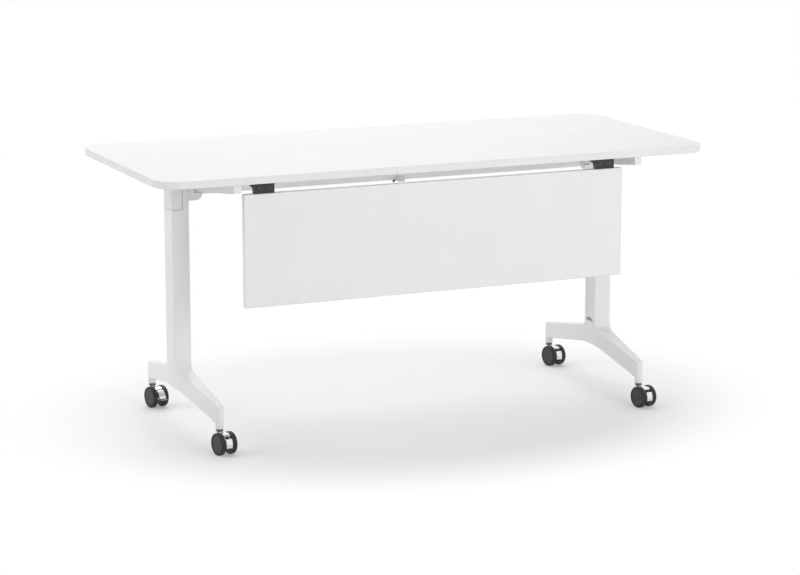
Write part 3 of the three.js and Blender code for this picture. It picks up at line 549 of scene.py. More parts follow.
def surface(name, base, gloss, mottle, grain, metallic=0.0, stretch=None):
    """A finish whose colour, gloss and relief vary.

    gloss is the least and the greatest roughness, mottle is the colour's scale and spread, and grain is the
    relief's scale, depth and strength. Scales are in steps per metre.
    """
    if name in bpy.data.materials:
        return bpy.data.materials[name]
    low, high = gloss
    scale, spread = mottle
    fineness, depth, share = grain
    finish, shader, source = made_finish(name, base, (low + high) / 2, metallic)
    tinted(finish, shader, noise(finish, source, scale, 3.0, stretch), base, spread)
    glossed(finish, shader, noise(finish, source, scale * GLOSS_FINENESS, 2.0, stretch), low, high)
    grained(finish, shader, noise(finish, source, fineness, 1.0, stretch), depth, share)
    return finish


def melamine(scene):
    """Satin white of the boards."""
    return surface(
        "pearl_melamine", scene.table_board.melamine,
        gloss=(0.42, 0.52), mottle=(7, 0.012), grain=(950, 0.05 * MM, 0.25),
    )


def edging(scene):
    """Smooth white of the edge bands."""
    return surface(
        "smooth_edging", scene.table_board.edging,
        gloss=(0.38, 0.46), mottle=(9, 0.015), grain=(600, 0.04 * MM, 0.2),
    )


def lacquer(scene):
    """White powder coat of the metal."""
    return surface(
        "powder_lacquer", scene.table_legs.lacquer,
        gloss=(0.34, 0.44), mottle=(11, 0.015), grain=(420, 0.08 * MM, 0.25),
    )


def painted_light_lacquer():
    """White powder coat of the beam, painted lighter than the other lacquer: painted light against the
    board's shade on the beam.
    """
    return surface(
        "painted_light_lacquer", (0.95, 0.95, 0.935),
        gloss=(0.34, 0.44), mottle=(11, 0.01), grain=(420, 0.08 * MM, 0.25),
    )


def dull_lacquer():
    """White powder coat of the lever, a little darker and rougher than the other lacquer, with a finer,
    stronger mottle.
    """
    return surface(
        "dull_lacquer", (0.80, 0.80, 0.785),
        gloss=(0.36, 0.46), mottle=(40, 0.03), grain=(420, 0.08 * MM, 0.25),
    )


def moulding(scene):
    """White moulded plastic of the covers."""
    return surface(
        "fine_moulding", scene.table_legs.moulding,
        gloss=(0.42, 0.52), mottle=(14, 0.015), grain=(1300, 0.05 * MM, 0.3),
    )


def black_plastic(scene):
    """Grained black plastic of the hinges."""
    return surface(
        "grained_black", scene.table_frame.black,
        gloss=(0.38, 0.52), mottle=(60, 0.20), grain=(1400, 0.08 * MM, 0.4),
    )


def wheel_plastic(scene):
    """Dark grey plastic of the wheels' faces."""
    return surface(
        "roller_grey", scene.table_casters.wheel,
        gloss=(0.42, 0.58), mottle=(40, 0.14), grain=(1100, 0.06 * MM, 0.35),
    )


def tyre():
    """Soft black plastic of the treads."""
    return surface(
        "tyre_black", (0.014, 0.014, 0.015),
        gloss=(0.45, 0.60), mottle=(60, 0.20), grain=(1300, 0.08 * MM, 0.4),
    )


def chrome(scene):
    """Bright plating of the hoods and pedals."""
    return surface(
        "bright_chrome", scene.table_casters.chrome,
        gloss=(0.06, 0.14), mottle=(90, 0.03), grain=(160, 0.03 * MM, 0.1), metallic=1.0,
    )


def steel():
    """Drawn steel of shafts, pins, rods and axles, with lines along X."""
    return surface(
        "drawn_steel", (0.52, 0.53, 0.54),
        gloss=(0.24, 0.36), mottle=(45, 0.07), grain=(300, 0.05 * MM, 0.2), metallic=1.0,
        stretch=(1, 14, 14),
    )


def dark_steel():
    """Blackened steel of the caster stems."""
    return surface(
        "blackened_steel", (0.24, 0.24, 0.25),
        gloss=(0.14, 0.24), mottle=(120, 0.15), grain=(700, 0.05 * MM, 0.2), metallic=1.0,
    )


def grey_zinc():
    """Grey plating of the screws."""
    return surface(
        "grey_zinc", (0.10, 0.10, 0.105),
        gloss=(0.34, 0.46), mottle=(200, 0.12), grain=(900, 0.04 * MM, 0.2), metallic=0.3,
    )


def satin_zinc():
    """Satin plating of the raised pedal's lip."""
    return surface(
        "satin_zinc", (0.30, 0.30, 0.31),
        gloss=(0.30, 0.42), mottle=(140, 0.08), grain=(700, 0.04 * MM, 0.2), metallic=0.85,
    )


def bronze():
    """Oiled bronze of the bushes."""
    return surface(
        "oiled_bronze", (0.42, 0.27, 0.11),
        gloss=(0.30, 0.44), mottle=(110, 0.12), grain=(800, 0.06 * MM, 0.3), metallic=1.0,
    )


def rubber():
    """Black rubber of the stop pads."""
    return surface(
        "black_rubber", (0.018, 0.018, 0.018),
        gloss=(0.70, 0.85), mottle=(150, 0.25), grain=(1600, 0.12 * MM, 0.5),
    )


# Board and panel

BAND_GAP = 0.3 * MM
BOARD_LAP = 0.25 * MM
BOARD_STEPS = 24
PANEL_LAP = 0.2 * MM
PANEL_STEPS = 5


class TRAININGTABLE_OT_board(bpy.types.Operator):
    """Builds the table top with its rounded edge band"""

    bl_idname = "training_table.board"
    bl_label = "Board"

    def execute(self, context):
        """Makes the band with its joint on the front edge, and the board inside it."""
        sizes = context.scene.table_board
        low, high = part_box("edge_band")
        inner_low, inner_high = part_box("table_top")
        rim = inner_low.x - low.x
        outline = rounded_rectangle(low.x, high.x, low.y, high.y, sizes.corner_radius, BOARD_STEPS)
        corner = BOARD_STEPS + 1
        outline[corner:corner] = [(sizes.joint_x + step * sizes.joint_half, low.y) for step in (-1, 0, 1)]
        section = banded_section(rim - BAND_GAP, sizes.edge_round, low.z, high.z)
        band = strip("board_edge_band", "Z", outline, section, {corner + 1: sizes.joint_depth})
        fit(band, "top", edging(context.scene), "white_edge", "edge_band")
        field = rounded_rectangle(
            inner_low.x - BOARD_LAP, inner_high.x + BOARD_LAP,
            inner_low.y - BOARD_LAP, inner_high.y + BOARD_LAP,
            sizes.corner_radius - rim + BOARD_LAP, BOARD_STEPS,
        )
        board = prism("board", "Z", field, inner_low.z, inner_high.z)
        soften(board, BOARD_LAP, 2)
        fit(board, "top", melamine(context.scene), "white_melamine", "table_top")
        return {"FINISHED"}


class TRAININGTABLE_OT_front_panel(bpy.types.Operator):
    """Builds the hanging front panel with its edge band"""

    bl_idname = "training_table.front_panel"
    bl_label = "Front panel"

    def execute(self, context):
        """Makes the band, and the panel inside it."""
        sizes = context.scene.table_board
        low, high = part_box("panel_edge_band")
        inner_low, inner_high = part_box("modesty_panel")
        rim = inner_low.x - low.x
        outline = rounded_rectangle(low.x, high.x, low.z, high.z, sizes.panel_corner, PANEL_STEPS)
        section = banded_section(rim - BAND_GAP, sizes.panel_round, low.y, high.y)
        band = strip("panel_edge_strip", "Y", outline, section)
        fit(band, "panel", edging(context.scene), "white_edge", "panel_edge_band")
        panel = block(
            "panel_board", inner_low.x - PANEL_LAP, inner_high.x + PANEL_LAP, inner_low.y, inner_high.y,
            inner_low.z - PANEL_LAP, inner_high.z + PANEL_LAP,
        )
        soften(panel, PANEL_LAP, 2)
        fit(panel, "panel", melamine(context.scene), "white_melamine", "modesty_panel")
        return {"FINISHED"}


# Tilting frame

PIVOT = (8 * MM, 672 * MM)
SHAFT_BORE = 7.3 * MM
ROD_HEIGHT = 697.7 * MM
ROD_BORE = 4.4 * MM
ARM_HUB = 22 * MM
ARM_TIP = 24 * MM
ARM_SHORT_EDGE = 3 * MM
TUBE_INNER_ROUND = 1 * MM
LEVER_HUB = 8 * MM
LEVER_GAP = 0.8 * MM
BEAM_PIN_BORE = 3.3 * MM


def arm_outline(low, high):
    """Side view of a support arm: a hub under the pivot, running out to a shallow tip at each end."""
    rise = high.z - ARM_TIP - PIVOT[1]

    def tangent(run, side):
        """Where on the hub, in degrees, a straight underside to a tip leaves it."""
        spread = math.acos(ARM_HUB / math.hypot(run, rise))
        return math.degrees(math.atan2(rise, run) + side * spread)

    first = tangent(low.y - PIVOT[0], 1)
    last = tangent(high.y - PIVOT[0], -1) + 360
    return (
        [(low.y, high.z), (low.y, high.z - ARM_TIP)]
        + arc(PIVOT, ARM_HUB, first, last, 12)
        + [(high.y, high.z - ARM_TIP), (high.y, high.z)]
    )


class TRAININGTABLE_OT_tilting_frame(bpy.types.Operator):
    """Builds the crossbeam and the two support arms"""

    bl_idname = "training_table.tilting_frame"
    bl_label = "Tilting frame"

    def execute(self, context):
        """Makes the arms with their bores, and the hollow beam between them."""
        sizes = context.scene.table_frame
        low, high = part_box("support_arm_right")
        arm = prism("arm", "X", arm_outline(low, high), low.x, high.x)
        cut(
            arm,
            rod("bore", "X", PIVOT, SHAFT_BORE, low.x - PAST, high.x + PAST),
            rod("bore", "X", (0.0, ROD_HEIGHT), ROD_BORE, low.x - PAST, high.x + PAST),
        )
        soften(arm, sizes.arm_round, where=lambda middle, edge: edge.calc_length() > ARM_SHORT_EDGE)
        fit_pair(arm, "arm", "top", lacquer(context.scene), "white_lacquer", "support_arm")

        low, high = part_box("crossbeam")
        wall = sizes.tube_wall
        outer = rounded_rectangle(low.y, high.y, low.z, high.z, sizes.tube_round, 6)
        inner = rounded_rectangle(
            low.y + wall, high.y - wall, low.z + wall, high.z - wall, TUBE_INNER_ROUND, 3
        )
        beam = prism("beam", "X", outer, low.x, high.x)
        cut(
            beam,
            prism("hollow", "X", inner, low.x - PAST, high.x + PAST),
            rod("hole", "Y", (0.0, ROD_HEIGHT), LEVER_HUB + LEVER_GAP, low.y - PAST, 0.0),
            rod("bore", "Y", (0.0, ROD_HEIGHT), BEAM_PIN_BORE, 0.0, high.y + PAST),
        )
        # The beam takes the lacquer that is painted lighter: painted light against the board's shade.
        fit(beam, "top", painted_light_lacquer(), "white_lacquer", "crossbeam")
        return {"FINISHED"}


# Hinges

HINGE_FLANGE = 9 * MM
HINGE_WEB = 2.2 * MM
HINGE_LAP = 0.2 * MM
HINGE_BORE = 2.8 * MM
FLANGE_ROUND = 1.5 * MM
CHEEK_WIDTH = 6 * MM
CHEEK_RISE = 8.5 * MM
CHEEK_SETBACK = 1 * MM
CHEEK_SINK = 4 * MM
WEB_SINK = 3 * MM
NOTCH_HALF = 7 * MM
NOTCH_RISE = 3 * MM
NIB_ACROSS = 17 * MM
NIB_RISE = 5.5 * MM
NIB_HALF = 3.5 * MM
NIB_RADIUS = 1.6 * MM
NIB_PROUD = 1.2 * MM
MOULDED_ROUND = 0.5 * MM
LEAF_THICKNESS = 2.7 * MM
LEAF_ROUND = 0.6 * MM
LEAF_BORE = 2.9 * MM


def pin_line(node):
    """Where a hinge pin lies, and half its length."""
    low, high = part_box(node)
    return ((low.y + high.y) / 2, (low.z + high.z) / 2), (high.x - low.x) / 2


def hinge_nib(middle, low):
    """A small moulded bar on the front of a bracket."""
    rise = low.z + NIB_RISE
    outline = (
        arc((middle + NIB_HALF, rise), NIB_RADIUS, -90, 90, 8)
        + arc((middle - NIB_HALF, rise), NIB_RADIUS, 90, 270, 8)
    )
    nib = prism("nib", "Y", outline, low.y - NIB_PROUD, low.y + HINGE_WEB / 2)
    return soften(nib, MOULDED_ROUND, 2, 50.0)


def hinge_bracket(low, high, pin, half):
    """The bracket under the board: a flange, a notched front and two cheeks round the pin."""
    middle = (low.x + high.x) / 2
    flange_low = high.z - HINGE_FLANGE
    eye = pin[1] - low.z
    behind = low.y + HINGE_WEB / 2
    cheek_top = flange_low + CHEEK_SINK
    cheek_rear = high.y - CHEEK_SETBACK
    cheek = (
        [(behind, low.z + HINGE_LAP)]
        + arc(pin, eye - HINGE_LAP, -90, 0, 10)
        + [(pin[0] + eye, pin[1] + CHEEK_RISE), (cheek_rear, flange_low)]
        + [(cheek_rear, cheek_top), (behind, cheek_top)]
    )
    bracket = block("bracket", low.x, high.x, low.y, high.y, flange_low, high.z)
    soften(bracket, FLANGE_ROUND)
    notch_top = low.z + NOTCH_RISE
    notch_inner = NOTCH_HALF - NOTCH_RISE
    web_top = flange_low + WEB_SINK
    front = [
        (middle - half, low.z), (middle - NOTCH_HALF, low.z), (middle - notch_inner, notch_top),
        (middle + notch_inner, notch_top), (middle + NOTCH_HALF, low.z), (middle + half, low.z),
        (middle + half, web_top), (middle - half, web_top),
    ]
    plate = prism("front", "Y", front, low.y, low.y + HINGE_WEB)
    soften(plate, MOULDED_ROUND, 2)
    starts = (middle - half + HINGE_LAP, middle + half - HINGE_LAP - CHEEK_WIDTH)
    join(bracket, plate, *[prism("cheek", "X", cheek, start, start + CHEEK_WIDTH) for start in starts])
    join(bracket, *[hinge_nib(middle + side * NIB_ACROSS, low) for side in (-1, 1)])
    return cut(bracket, rod("bore", "X", pin, HINGE_BORE, low.x - PAST, high.x + PAST, 24))


class TRAININGTABLE_OT_hinges(bpy.types.Operator):
    """Builds the two hinge brackets under the board and the leaves on the panel"""

    bl_idname = "training_table.hinges"
    bl_label = "Hinges"

    def execute(self, context):
        """Makes the brackets, and the leaves with their barrels."""
        finish = black_plastic(context.scene)
        pin, half = pin_line("hinge_pin_right")
        low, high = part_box("hinge_bracket_right")
        barrel = pin[1] - low.z
        bracket = hinge_bracket(low, high, pin, half)
        fit_pair(bracket, "hinge_bracket_cover", "top", finish, "black_plastic", "hinge_bracket")

        low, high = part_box("hinge_leaf_right")
        panel_low, panel_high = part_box("modesty_panel")
        leaf = block("leaf", low.x, high.x, panel_low.y, panel_high.y, low.z, low.z + LEAF_THICKNESS)
        soften(leaf, LEAF_ROUND, 2)
        join(leaf, rod("barrel", "X", pin, barrel, low.x, high.x))
        cut(leaf, rod("bore", "X", pin, LEAF_BORE, low.x - PAST, high.x + PAST, 24))
        fit_pair(leaf, "hinge_leaf_cover", "panel", finish, "black_plastic", "hinge_leaf")
        return {"FINISHED"}


# Lock

FORK_HALF = 3.1 * MM
FORK_PRONG = 6.1 * MM
FORK_REACH = 16.5 * MM
FORK_ROOT = 8.6 * MM
LEVER_BORE = 3.4 * MM
LEVER_ROUND = 0.4 * MM
HOOK_TOP = Vector((0.0, ROD_HEIGHT - 4 * MM))
HOOK_START = Vector((0.0, ROD_HEIGHT - 40 * MM))
HOOK_BEND = Vector((0.0, ROD_HEIGHT - 52 * MM))
HOOK_END = Vector((-11 * MM, ROD_HEIGHT - 54 * MM))
HOOK_TAPER = 0.2
HOOK_FULLNESS = 0.7
KNOB_FULLNESS = 0.6
KNOB_TURN = -24
KNOB_PROUD = 0.3 * MM
PLATE_THICKNESS = 5 * MM
PLATE_ROUND = 1.6 * MM


def hook(name, path, widths, half_depth, steps=16):
    """A bar with a rounded section that follows a path in the X and Z directions."""
    edit = bmesh.new()
    rows = []
    for i, (x, z) in enumerate(path):
        ahead = Vector(path[min(i + 1, len(path) - 1)])
        behind = Vector(path[max(i - 1, 0)])
        run = (ahead - behind).normalized()
        row = []
        for k in range(steps):
            turn = 2 * math.pi * k / steps
            side = fuller(math.cos(turn), HOOK_FULLNESS) * widths[i] / 2
            deep = fuller(math.sin(turn), HOOK_FULLNESS) * half_depth
            row.append(edit.verts.new((x - run.y * side, deep, z + run.x * side)))
        rows.append(row)
    rings(edit, rows, False)
    edit.faces.new(rows[0])
    edit.faces.new(rows[-1])
    return solid(name, edit)


def lever_piece(sizes, low, high, middle, half):
    """The lever: a forked hub inside the beam and a hook in front of it."""
    lever = block(
        "lever", -FORK_PRONG, FORK_PRONG, -high.y, high.y, ROD_HEIGHT - FORK_REACH, ROD_HEIGHT + FORK_REACH
    )
    join(lever, rod("hub", "Y", (0.0, ROD_HEIGHT), LEVER_HUB, low.y, high.y))
    cut(
        lever,
        block("slot", -FORK_HALF, FORK_HALF, -PAST, PAST, ROD_HEIGHT + FORK_ROOT, ROD_HEIGHT + PAST),
        block("slot", -FORK_HALF, FORK_HALF, -PAST, PAST, ROD_HEIGHT - PAST, ROD_HEIGHT - FORK_ROOT),
    )
    path = [HOOK_TOP] + [bent(HOOK_START, HOOK_BEND, HOOK_END, t) for t in shares(14)]
    widths = [sizes.lever_width] + [sizes.lever_width * (1 - HOOK_TAPER * t) for t in shares(14)]
    join(lever, moved(hook("hook", path, widths, half), Matrix.Translation((0.0, middle, 0.0))))
    cut(lever, rod("bore", "Y", (0.0, ROD_HEIGHT), LEVER_BORE, -PAST, PAST, 24))
    return soften(lever, LEVER_ROUND, 2, 45.0)


def knob_piece(sizes, middle, half):
    """The full, rounded knob on the end of the lever's hook."""
    turns = [math.pi * t for t in shares(20)]
    profile = [(fuller(math.sin(t), KNOB_FULLNESS), -fuller(math.cos(t), KNOB_FULLNESS)) for t in turns]
    stretch = Matrix.Diagonal((sizes.knob_length / 2, half + KNOB_PROUD, sizes.knob_height / 2, 1.0))
    turn = Matrix.Rotation(math.radians(KNOB_TURN), 4, "Y")
    put = Matrix.Translation((HOOK_END.x, middle, HOOK_END.y)) @ turn @ stretch
    return moved(lathe("lever_knob", "Y", (0.0, 0.0), profile, 32), put)


class TRAININGTABLE_OT_lock(bpy.types.Operator):
    """Builds the release lever with its knob, and the plate beside it"""

    bl_idname = "training_table.lock"
    bl_label = "Lock"

    def execute(self, context):
        """Makes the knob, the lever and the plate under the beam."""
        sizes = context.scene.table_frame
        low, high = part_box("release_lever")
        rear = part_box("crossbeam")[0].y - LEVER_GAP
        middle, half = (low.y + rear) / 2, (rear - low.y) / 2
        lever = lever_piece(sizes, low, high, middle, half)
        knob = knob_piece(sizes, middle, half)
        fit(knob, "lock_lever", black_plastic(context.scene), "black_plastic")
        fit(lever, "lock_lever", dull_lacquer(), "white_lacquer", "release_lever")

        low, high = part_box("lever_plate")
        behind, above = low.y + PLATE_THICKNESS, low.z + PLATE_THICKNESS
        section = [
            (low.y, low.z), (high.y, low.z), (high.y, above),
            (behind, above), (behind, high.z), (low.y, high.z),
        ]
        plate = prism("lever_side_plate", "X", section, low.x, high.x)
        soften(plate, PLATE_ROUND, where=lambda middle, edge: edge.is_convex)
        fit(plate, "top", moulding(context.scene), "white_plastic", "lever_plate")
        return {"FINISHED"}


# Columns

LEG_Y = -8 * MM
SEAM_HEIGHT = 610 * MM
SEAM_REACH = 1 * MM
COVER_GAP = 0.3 * MM
COLUMN_BORE = 7.8 * MM
BORE_STOP = 1.5 * MM
STRIP_ROUND = 0.5 * MM


def column_outline(sizes, low, high, channel):
    """Plan of a column: crowned front and rear, round arrises, and the cable channel in the inner face."""
    shoulder = (high.y - low.y) / 2 - sizes.crown
    radius = sizes.column_corner
    left, right = low.x + radius, high.x - radius
    crowned = []
    for t in shares(16)[1:-1]:
        crowned.append((left + (right - left) * t, shoulder + sizes.crown * (1 - (2 * t - 1) ** 2)))
    outline = (
        arc((left, radius - shoulder), radius, 180, 270, 6)
        + [(x, -y) for x, y in crowned]
        + arc((right, radius - shoulder), radius, -90, 0, 6)
        + arc((right, shoulder - radius), radius, 0, 90, 6)
        + crowned[::-1]
        + arc((left, shoulder - radius), radius, 90, 180, 6)
    )
    if channel:
        side = sizes.channel_width / 2
        floor = low.x + sizes.channel_depth
        outline += [(low.x, side), (floor, side), (floor, -side), (low.x, -side)]
    return [(x, y + LEG_Y) for x, y in outline]


def head_envelope(sizes, low, high):
    """What the head may fill, with its rear top edge rounded."""
    radius = sizes.head_round
    outline = (
        [(low.y - PAST, 0.0), (high.y, 0.0)]
        + arc((high.y - radius, high.z - radius), radius, 0, 90, 8)
        + [(low.y - PAST, high.z)]
    )
    return prism("envelope", "X", outline, low.x - PAST, high.x + PAST)


class TRAININGTABLE_OT_columns(bpy.types.Operator):
    """Builds the columns, the head covers and the cable covers"""

    bl_idname = "training_table.columns"
    bl_label = "Columns"

    def execute(self, context):
        """Makes the columns with a step at the head, the covers in that step and the cable covers."""
        sizes = context.scene.table_legs
        low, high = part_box("column_right")
        cover_low, cover_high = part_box("head_cover_right")
        notch = cover_low.x - COVER_GAP
        column = prism("column", "Z", column_outline(sizes, low, high, True), low.z, high.z)
        common(column, head_envelope(sizes, low, high))
        cut(
            column,
            block(
                "notch", notch, cover_high.x + PAST, low.y - PAST, high.y + PAST,
                SEAM_HEIGHT, high.z + PAST,
            ),
            rod("bore", "X", PIVOT, COLUMN_BORE, low.x - PAST, notch - BORE_STOP),
        )

        def at_seam(middle, edge):
            """Picks the edges along the seam of the head cover."""
            return middle.z > SEAM_HEIGHT - SEAM_REACH and middle.x > notch - SEAM_REACH

        soften(column, sizes.seam_round, 2, where=at_seam)
        fit_pair(column, "column_tube", "legs", lacquer(context.scene), "white_casting", "column")

        side = cover_low.x + sizes.seam_gap
        cover_low.x = low.x
        outline = column_outline(sizes, cover_low, cover_high, False)
        cover = prism("cover", "Z", outline, cover_low.z + sizes.seam_gap, cover_high.z)
        common(cover, head_envelope(sizes, cover_low, cover_high))
        cut(cover, block("side", low.x - PAST, side, low.y - PAST, high.y + PAST, 0.0, high.z + PAST))
        soften(cover, sizes.seam_round, 3, 50.0)
        fit_pair(cover, "head_shell", "legs", moulding(context.scene), "white_plastic", "head_cover")

        low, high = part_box("cable_cover_right")
        cable = block("cable", low.x, high.x, low.y, high.y, low.z, high.z)
        soften(cable, STRIP_ROUND)
        fit_pair(cable, "cable_strip", "legs", moulding(context.scene), "white_plastic", "cable_cover")
        return {"FINISHED"}


# Pivot housings

HOUSING_GAP = 0.8 * MM
BUSH_BORE = 10.7 * MM
SOCKET_DEPTH = 12 * MM
COLUMN_SIDE = 1 * MM
# Where the lock rods stand with the board flat, and with the board up
SOCKETS = ((0.0, ROD_HEIGHT), (33.7 * MM, 680 * MM))


class TRAININGTABLE_OT_pivot_housings(bpy.types.Operator):
    """Builds the rounded pivot housings beside the column heads"""

    bl_idname = "training_table.pivot_housings"
    bl_label = "Pivot housings"

    def execute(self, context):
        """Makes the housings with a toe under the arm, a bore for the bush and sockets for the lock."""
        sizes = context.scene.table_legs
        low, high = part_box("pivot_housing_right")
        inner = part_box("support_arm_right")[1].x + HOUSING_GAP
        side = [(low.y, low.z)] + arc(PIVOT, high.y - PIVOT[0], -90, 90, 32) + [(low.y, high.z)]
        housing = prism("housing", "X", side, inner, high.x)
        corner = sizes.housing_corner
        toe_top = low.z + sizes.toe_height
        face = (
            [(high.x, low.z), (high.x, toe_top), (low.x, toe_top)]
            + arc((low.x + corner, low.z + corner), corner, 180, 270, 14)
        )
        join(housing, prism("toe", "Y", face, low.y, low.y + sizes.toe_depth))

        def outside(middle, edge):
            """Picks the outer edges away from the column."""
            return edge.is_convex and middle.x < high.x - COLUMN_SIDE

        soften(housing, sizes.housing_round, 4, 50.0, outside)
        cut(housing, rod("bore", "X", PIVOT, BUSH_BORE, inner - PAST, high.x + PAST, 48))
        for socket in SOCKETS:
            cut(housing, rod("socket", "X", socket, ROD_BORE, inner - PAST, inner + SOCKET_DEPTH, 24))
        fit_pair(housing, "housing", "legs", lacquer(context.scene), "white_casting", "pivot_housing")
        return {"FINISHED"}


# Feet

STEM_REACH = 277 * MM
POST_FOOT = 65 * MM
POST_INSET = 0.03 * MM
POST_LAP = 0.3 * MM
POST_ROUND = 0.8 * MM
STEM_BORE = 5.8 * MM
STEM_BORE_TOP = 111.3 * MM
NECK_TOP = 188 * MM
NECK_HALF = 34 * MM
NECK_CROWN = 2 * MM
ARCH_CROWN = 121 * MM
ARCH_SHOULDER = Vector((80 * MM, 114 * MM))
ARCH_END = 82 * MM
ARCH_ROUND = 3 * MM
ROOT = Vector((58 * MM, 168 * MM))
BACK_CORNER = 4 * MM
BACK_CROWN = 0.8 * MM
FLANK_TAPER = 24 * MM
FLANK_START = 38 * MM
EASE_START = 28 * MM
EASE_LENGTH = 30 * MM
NOSE_RADIUS = 6 * MM
NOSE_CENTRE = 122 * MM
NOSE_TURN = 80
NOSE_END = 0.001 * MM
NOSE_CORNER_SHARE = 0.45
NOSE_CROWN_SHARE = 0.08


class FootShape:
    """The form of a foot by the distance u from the column's middle, alike to front and rear."""

    def __init__(self, low, high, post):
        """Takes the foot's box and the radius of its posts."""
        self.inner = low.x
        self.outer = high.x
        self.post = post
        self.stem = low.x + post
        self.nose = STEM_REACH + post - NOSE_RADIUS
        self.slope = (self.back(STEM_REACH) - ROOT.y) / (STEM_REACH - ROOT.x)
        self.normal = Vector((-self.slope, 1.0)).normalized()

    def back(self, u):
        """Height of the sloping back, which ends in the round of the nose."""
        turn = math.radians(NOSE_TURN)
        end_u = self.nose + NOSE_RADIUS * math.cos(turn)
        end_z = NOSE_CENTRE + NOSE_RADIUS * math.sin(turn)
        if u > end_u:
            return NOSE_CENTRE + math.sqrt(max(NOSE_RADIUS ** 2 - (u - self.nose) ** 2, 0.0))
        return ROOT.y + (end_z - ROOT.y) * (u - ROOT.x) / (end_u - ROOT.x)

    def arch(self, u):
        """Height of the arch under the foot."""
        if u < ARCH_SHOULDER.x:
            return ARCH_CROWN - (ARCH_CROWN - ARCH_SHOULDER.y) * (u / ARCH_SHOULDER.x) ** 2
        run = clamped((u - ARCH_SHOULDER.x) / (STEM_REACH - self.post - ARCH_SHOULDER.x))
        return ARCH_SHOULDER.y + (ARCH_END - ARCH_SHOULDER.y) * run

    def half_width(self, u):
        """Half the width of the nose, which is as round as the post."""
        across = u - STEM_REACH
        if self.post - across < NOSE_END:
            return 0.0
        return math.sqrt(self.post ** 2 - across ** 2)

    def inner_at(self, u):
        """X of the flat inner flank."""
        return self.inner if u < STEM_REACH else self.stem - self.half_width(u)

    def outer_at(self, u):
        """X of the outer flank, which eases from the column into a straight taper."""
        if u > STEM_REACH:
            return self.stem + self.half_width(u)
        tip = self.stem + self.post
        line = tip + FLANK_TAPER * (STEM_REACH - u) / (STEM_REACH - FLANK_START)
        ease = clamped((u - EASE_START) / EASE_LENGTH)
        return self.outer + (line - self.outer) * ease * ease * (3 - 2 * ease)


def neck_stations(shape):
    """Sections where the foot grows out of the column."""
    start = Vector((NECK_HALF, NECK_TOP))
    bend = Vector((NECK_HALF, ROOT.y - shape.slope * (ROOT.x - NECK_HALF)))
    for t in shares(16):
        run = (bend - start) * (1 - t) + (ROOT - bend) * t
        normal = Vector((-run.y, run.x)).normalized()
        lower = Vector((0.0, NECK_TOP + (ARCH_CROWN + ARCH_ROUND - NECK_TOP) * t))
        crown = NECK_CROWN + (BACK_CROWN - NECK_CROWN) * t
        yield lower, bent(start, bend, ROOT, t), normal, 0.0, BACK_CORNER, crown


def back_stations(shape):
    """Sections along the sloping back, out to the stem."""
    end = STEM_REACH - shape.post
    for t in shares(28):
        u, upper_u = end * t, ROOT.x + (end - ROOT.x) * t
        lower, upper = Vector((u, shape.arch(u))), Vector((upper_u, shape.back(upper_u)))
        under = ARCH_ROUND * clamped((STEM_REACH - u) / (2 * shape.post) - 0.5)
        yield lower, upper, shape.normal, under, BACK_CORNER, BACK_CROWN
    for t in shares(6)[1:-1]:
        u = end + shape.post * t
        yield Vector((u, ARCH_END)), Vector((u, shape.back(u))), shape.normal, 0.0, BACK_CORNER, BACK_CROWN


def nose_stations(shape):
    """Sections round the nose over the caster, whose corners shrink with its width."""
    for t in shares(14):
        u = STEM_REACH + shape.post * math.sin(math.pi / 2 * t)
        top = shape.back(u)
        normal = shape.normal
        if u > shape.nose:
            normal = Vector((u - shape.nose, top - NOSE_CENTRE)).normalized()
        width = shape.half_width(u)
        corner = min(BACK_CORNER, width * NOSE_CORNER_SHARE)
        crown = min(BACK_CROWN, width * NOSE_CROWN_SHARE)
        yield Vector((u, ARCH_END)), Vector((u, top)), normal, 0.0, corner, crown


def foot_section(station, shape):
    """Points of one cross-section as distance from the column's middle, height and X, inner side first."""
    lower, upper, normal, under, corner, crown = station
    turns = [math.radians(90) * t for t in shares(5)]
    flank = [(under * (1 - math.sin(t)), lower.x, lower.y + under * (1 - math.cos(t))) for t in turns]
    for t in turns:
        drop = crown + corner * (1 - math.sin(t))
        flank.append((corner * (1 - math.cos(t)), upper.x - normal.x * drop, upper.y - normal.y * drop))
    across = []
    for t in shares(8)[1:-1]:
        drop = crown * (2 * t - 1) ** 2
        u, z = upper.x - normal.x * drop, upper.y - normal.y * drop
        left, right = shape.inner_at(u) + corner, shape.outer_at(u) - corner
        across.append((u, z, left + (right - left) * t))
    inner_side = [(u, z, shape.inner_at(u) + inset) for inset, u, z in flank]
    outer_side = [(u, z, shape.outer_at(u) - inset) for inset, u, z in reversed(flank)]
    return inner_side + across + outer_side


def half_foot(edit, shape, sign):
    """Skins one half of a foot, to the front or to the rear of the column, open where the halves meet."""
    rows = []
    for station in (*neck_stations(shape), *back_stations(shape), *nose_stations(shape)):
        points = foot_section(station, shape)
        rows.append([edit.verts.new((x, LEG_Y + sign * u, z)) for u, z, x in points])
    count = len(rows[0])
    for one, other in zip(rows, rows[1:]):
        for i in range(count):
            j = (i + 1) % count
            corners = (one[i], one[j], other[j], other[i])
            if any(abs(corner.co.y - LEG_Y) > WELD for corner in corners):
                edit.faces.new(corners)
    edit.faces.new(rows[0])


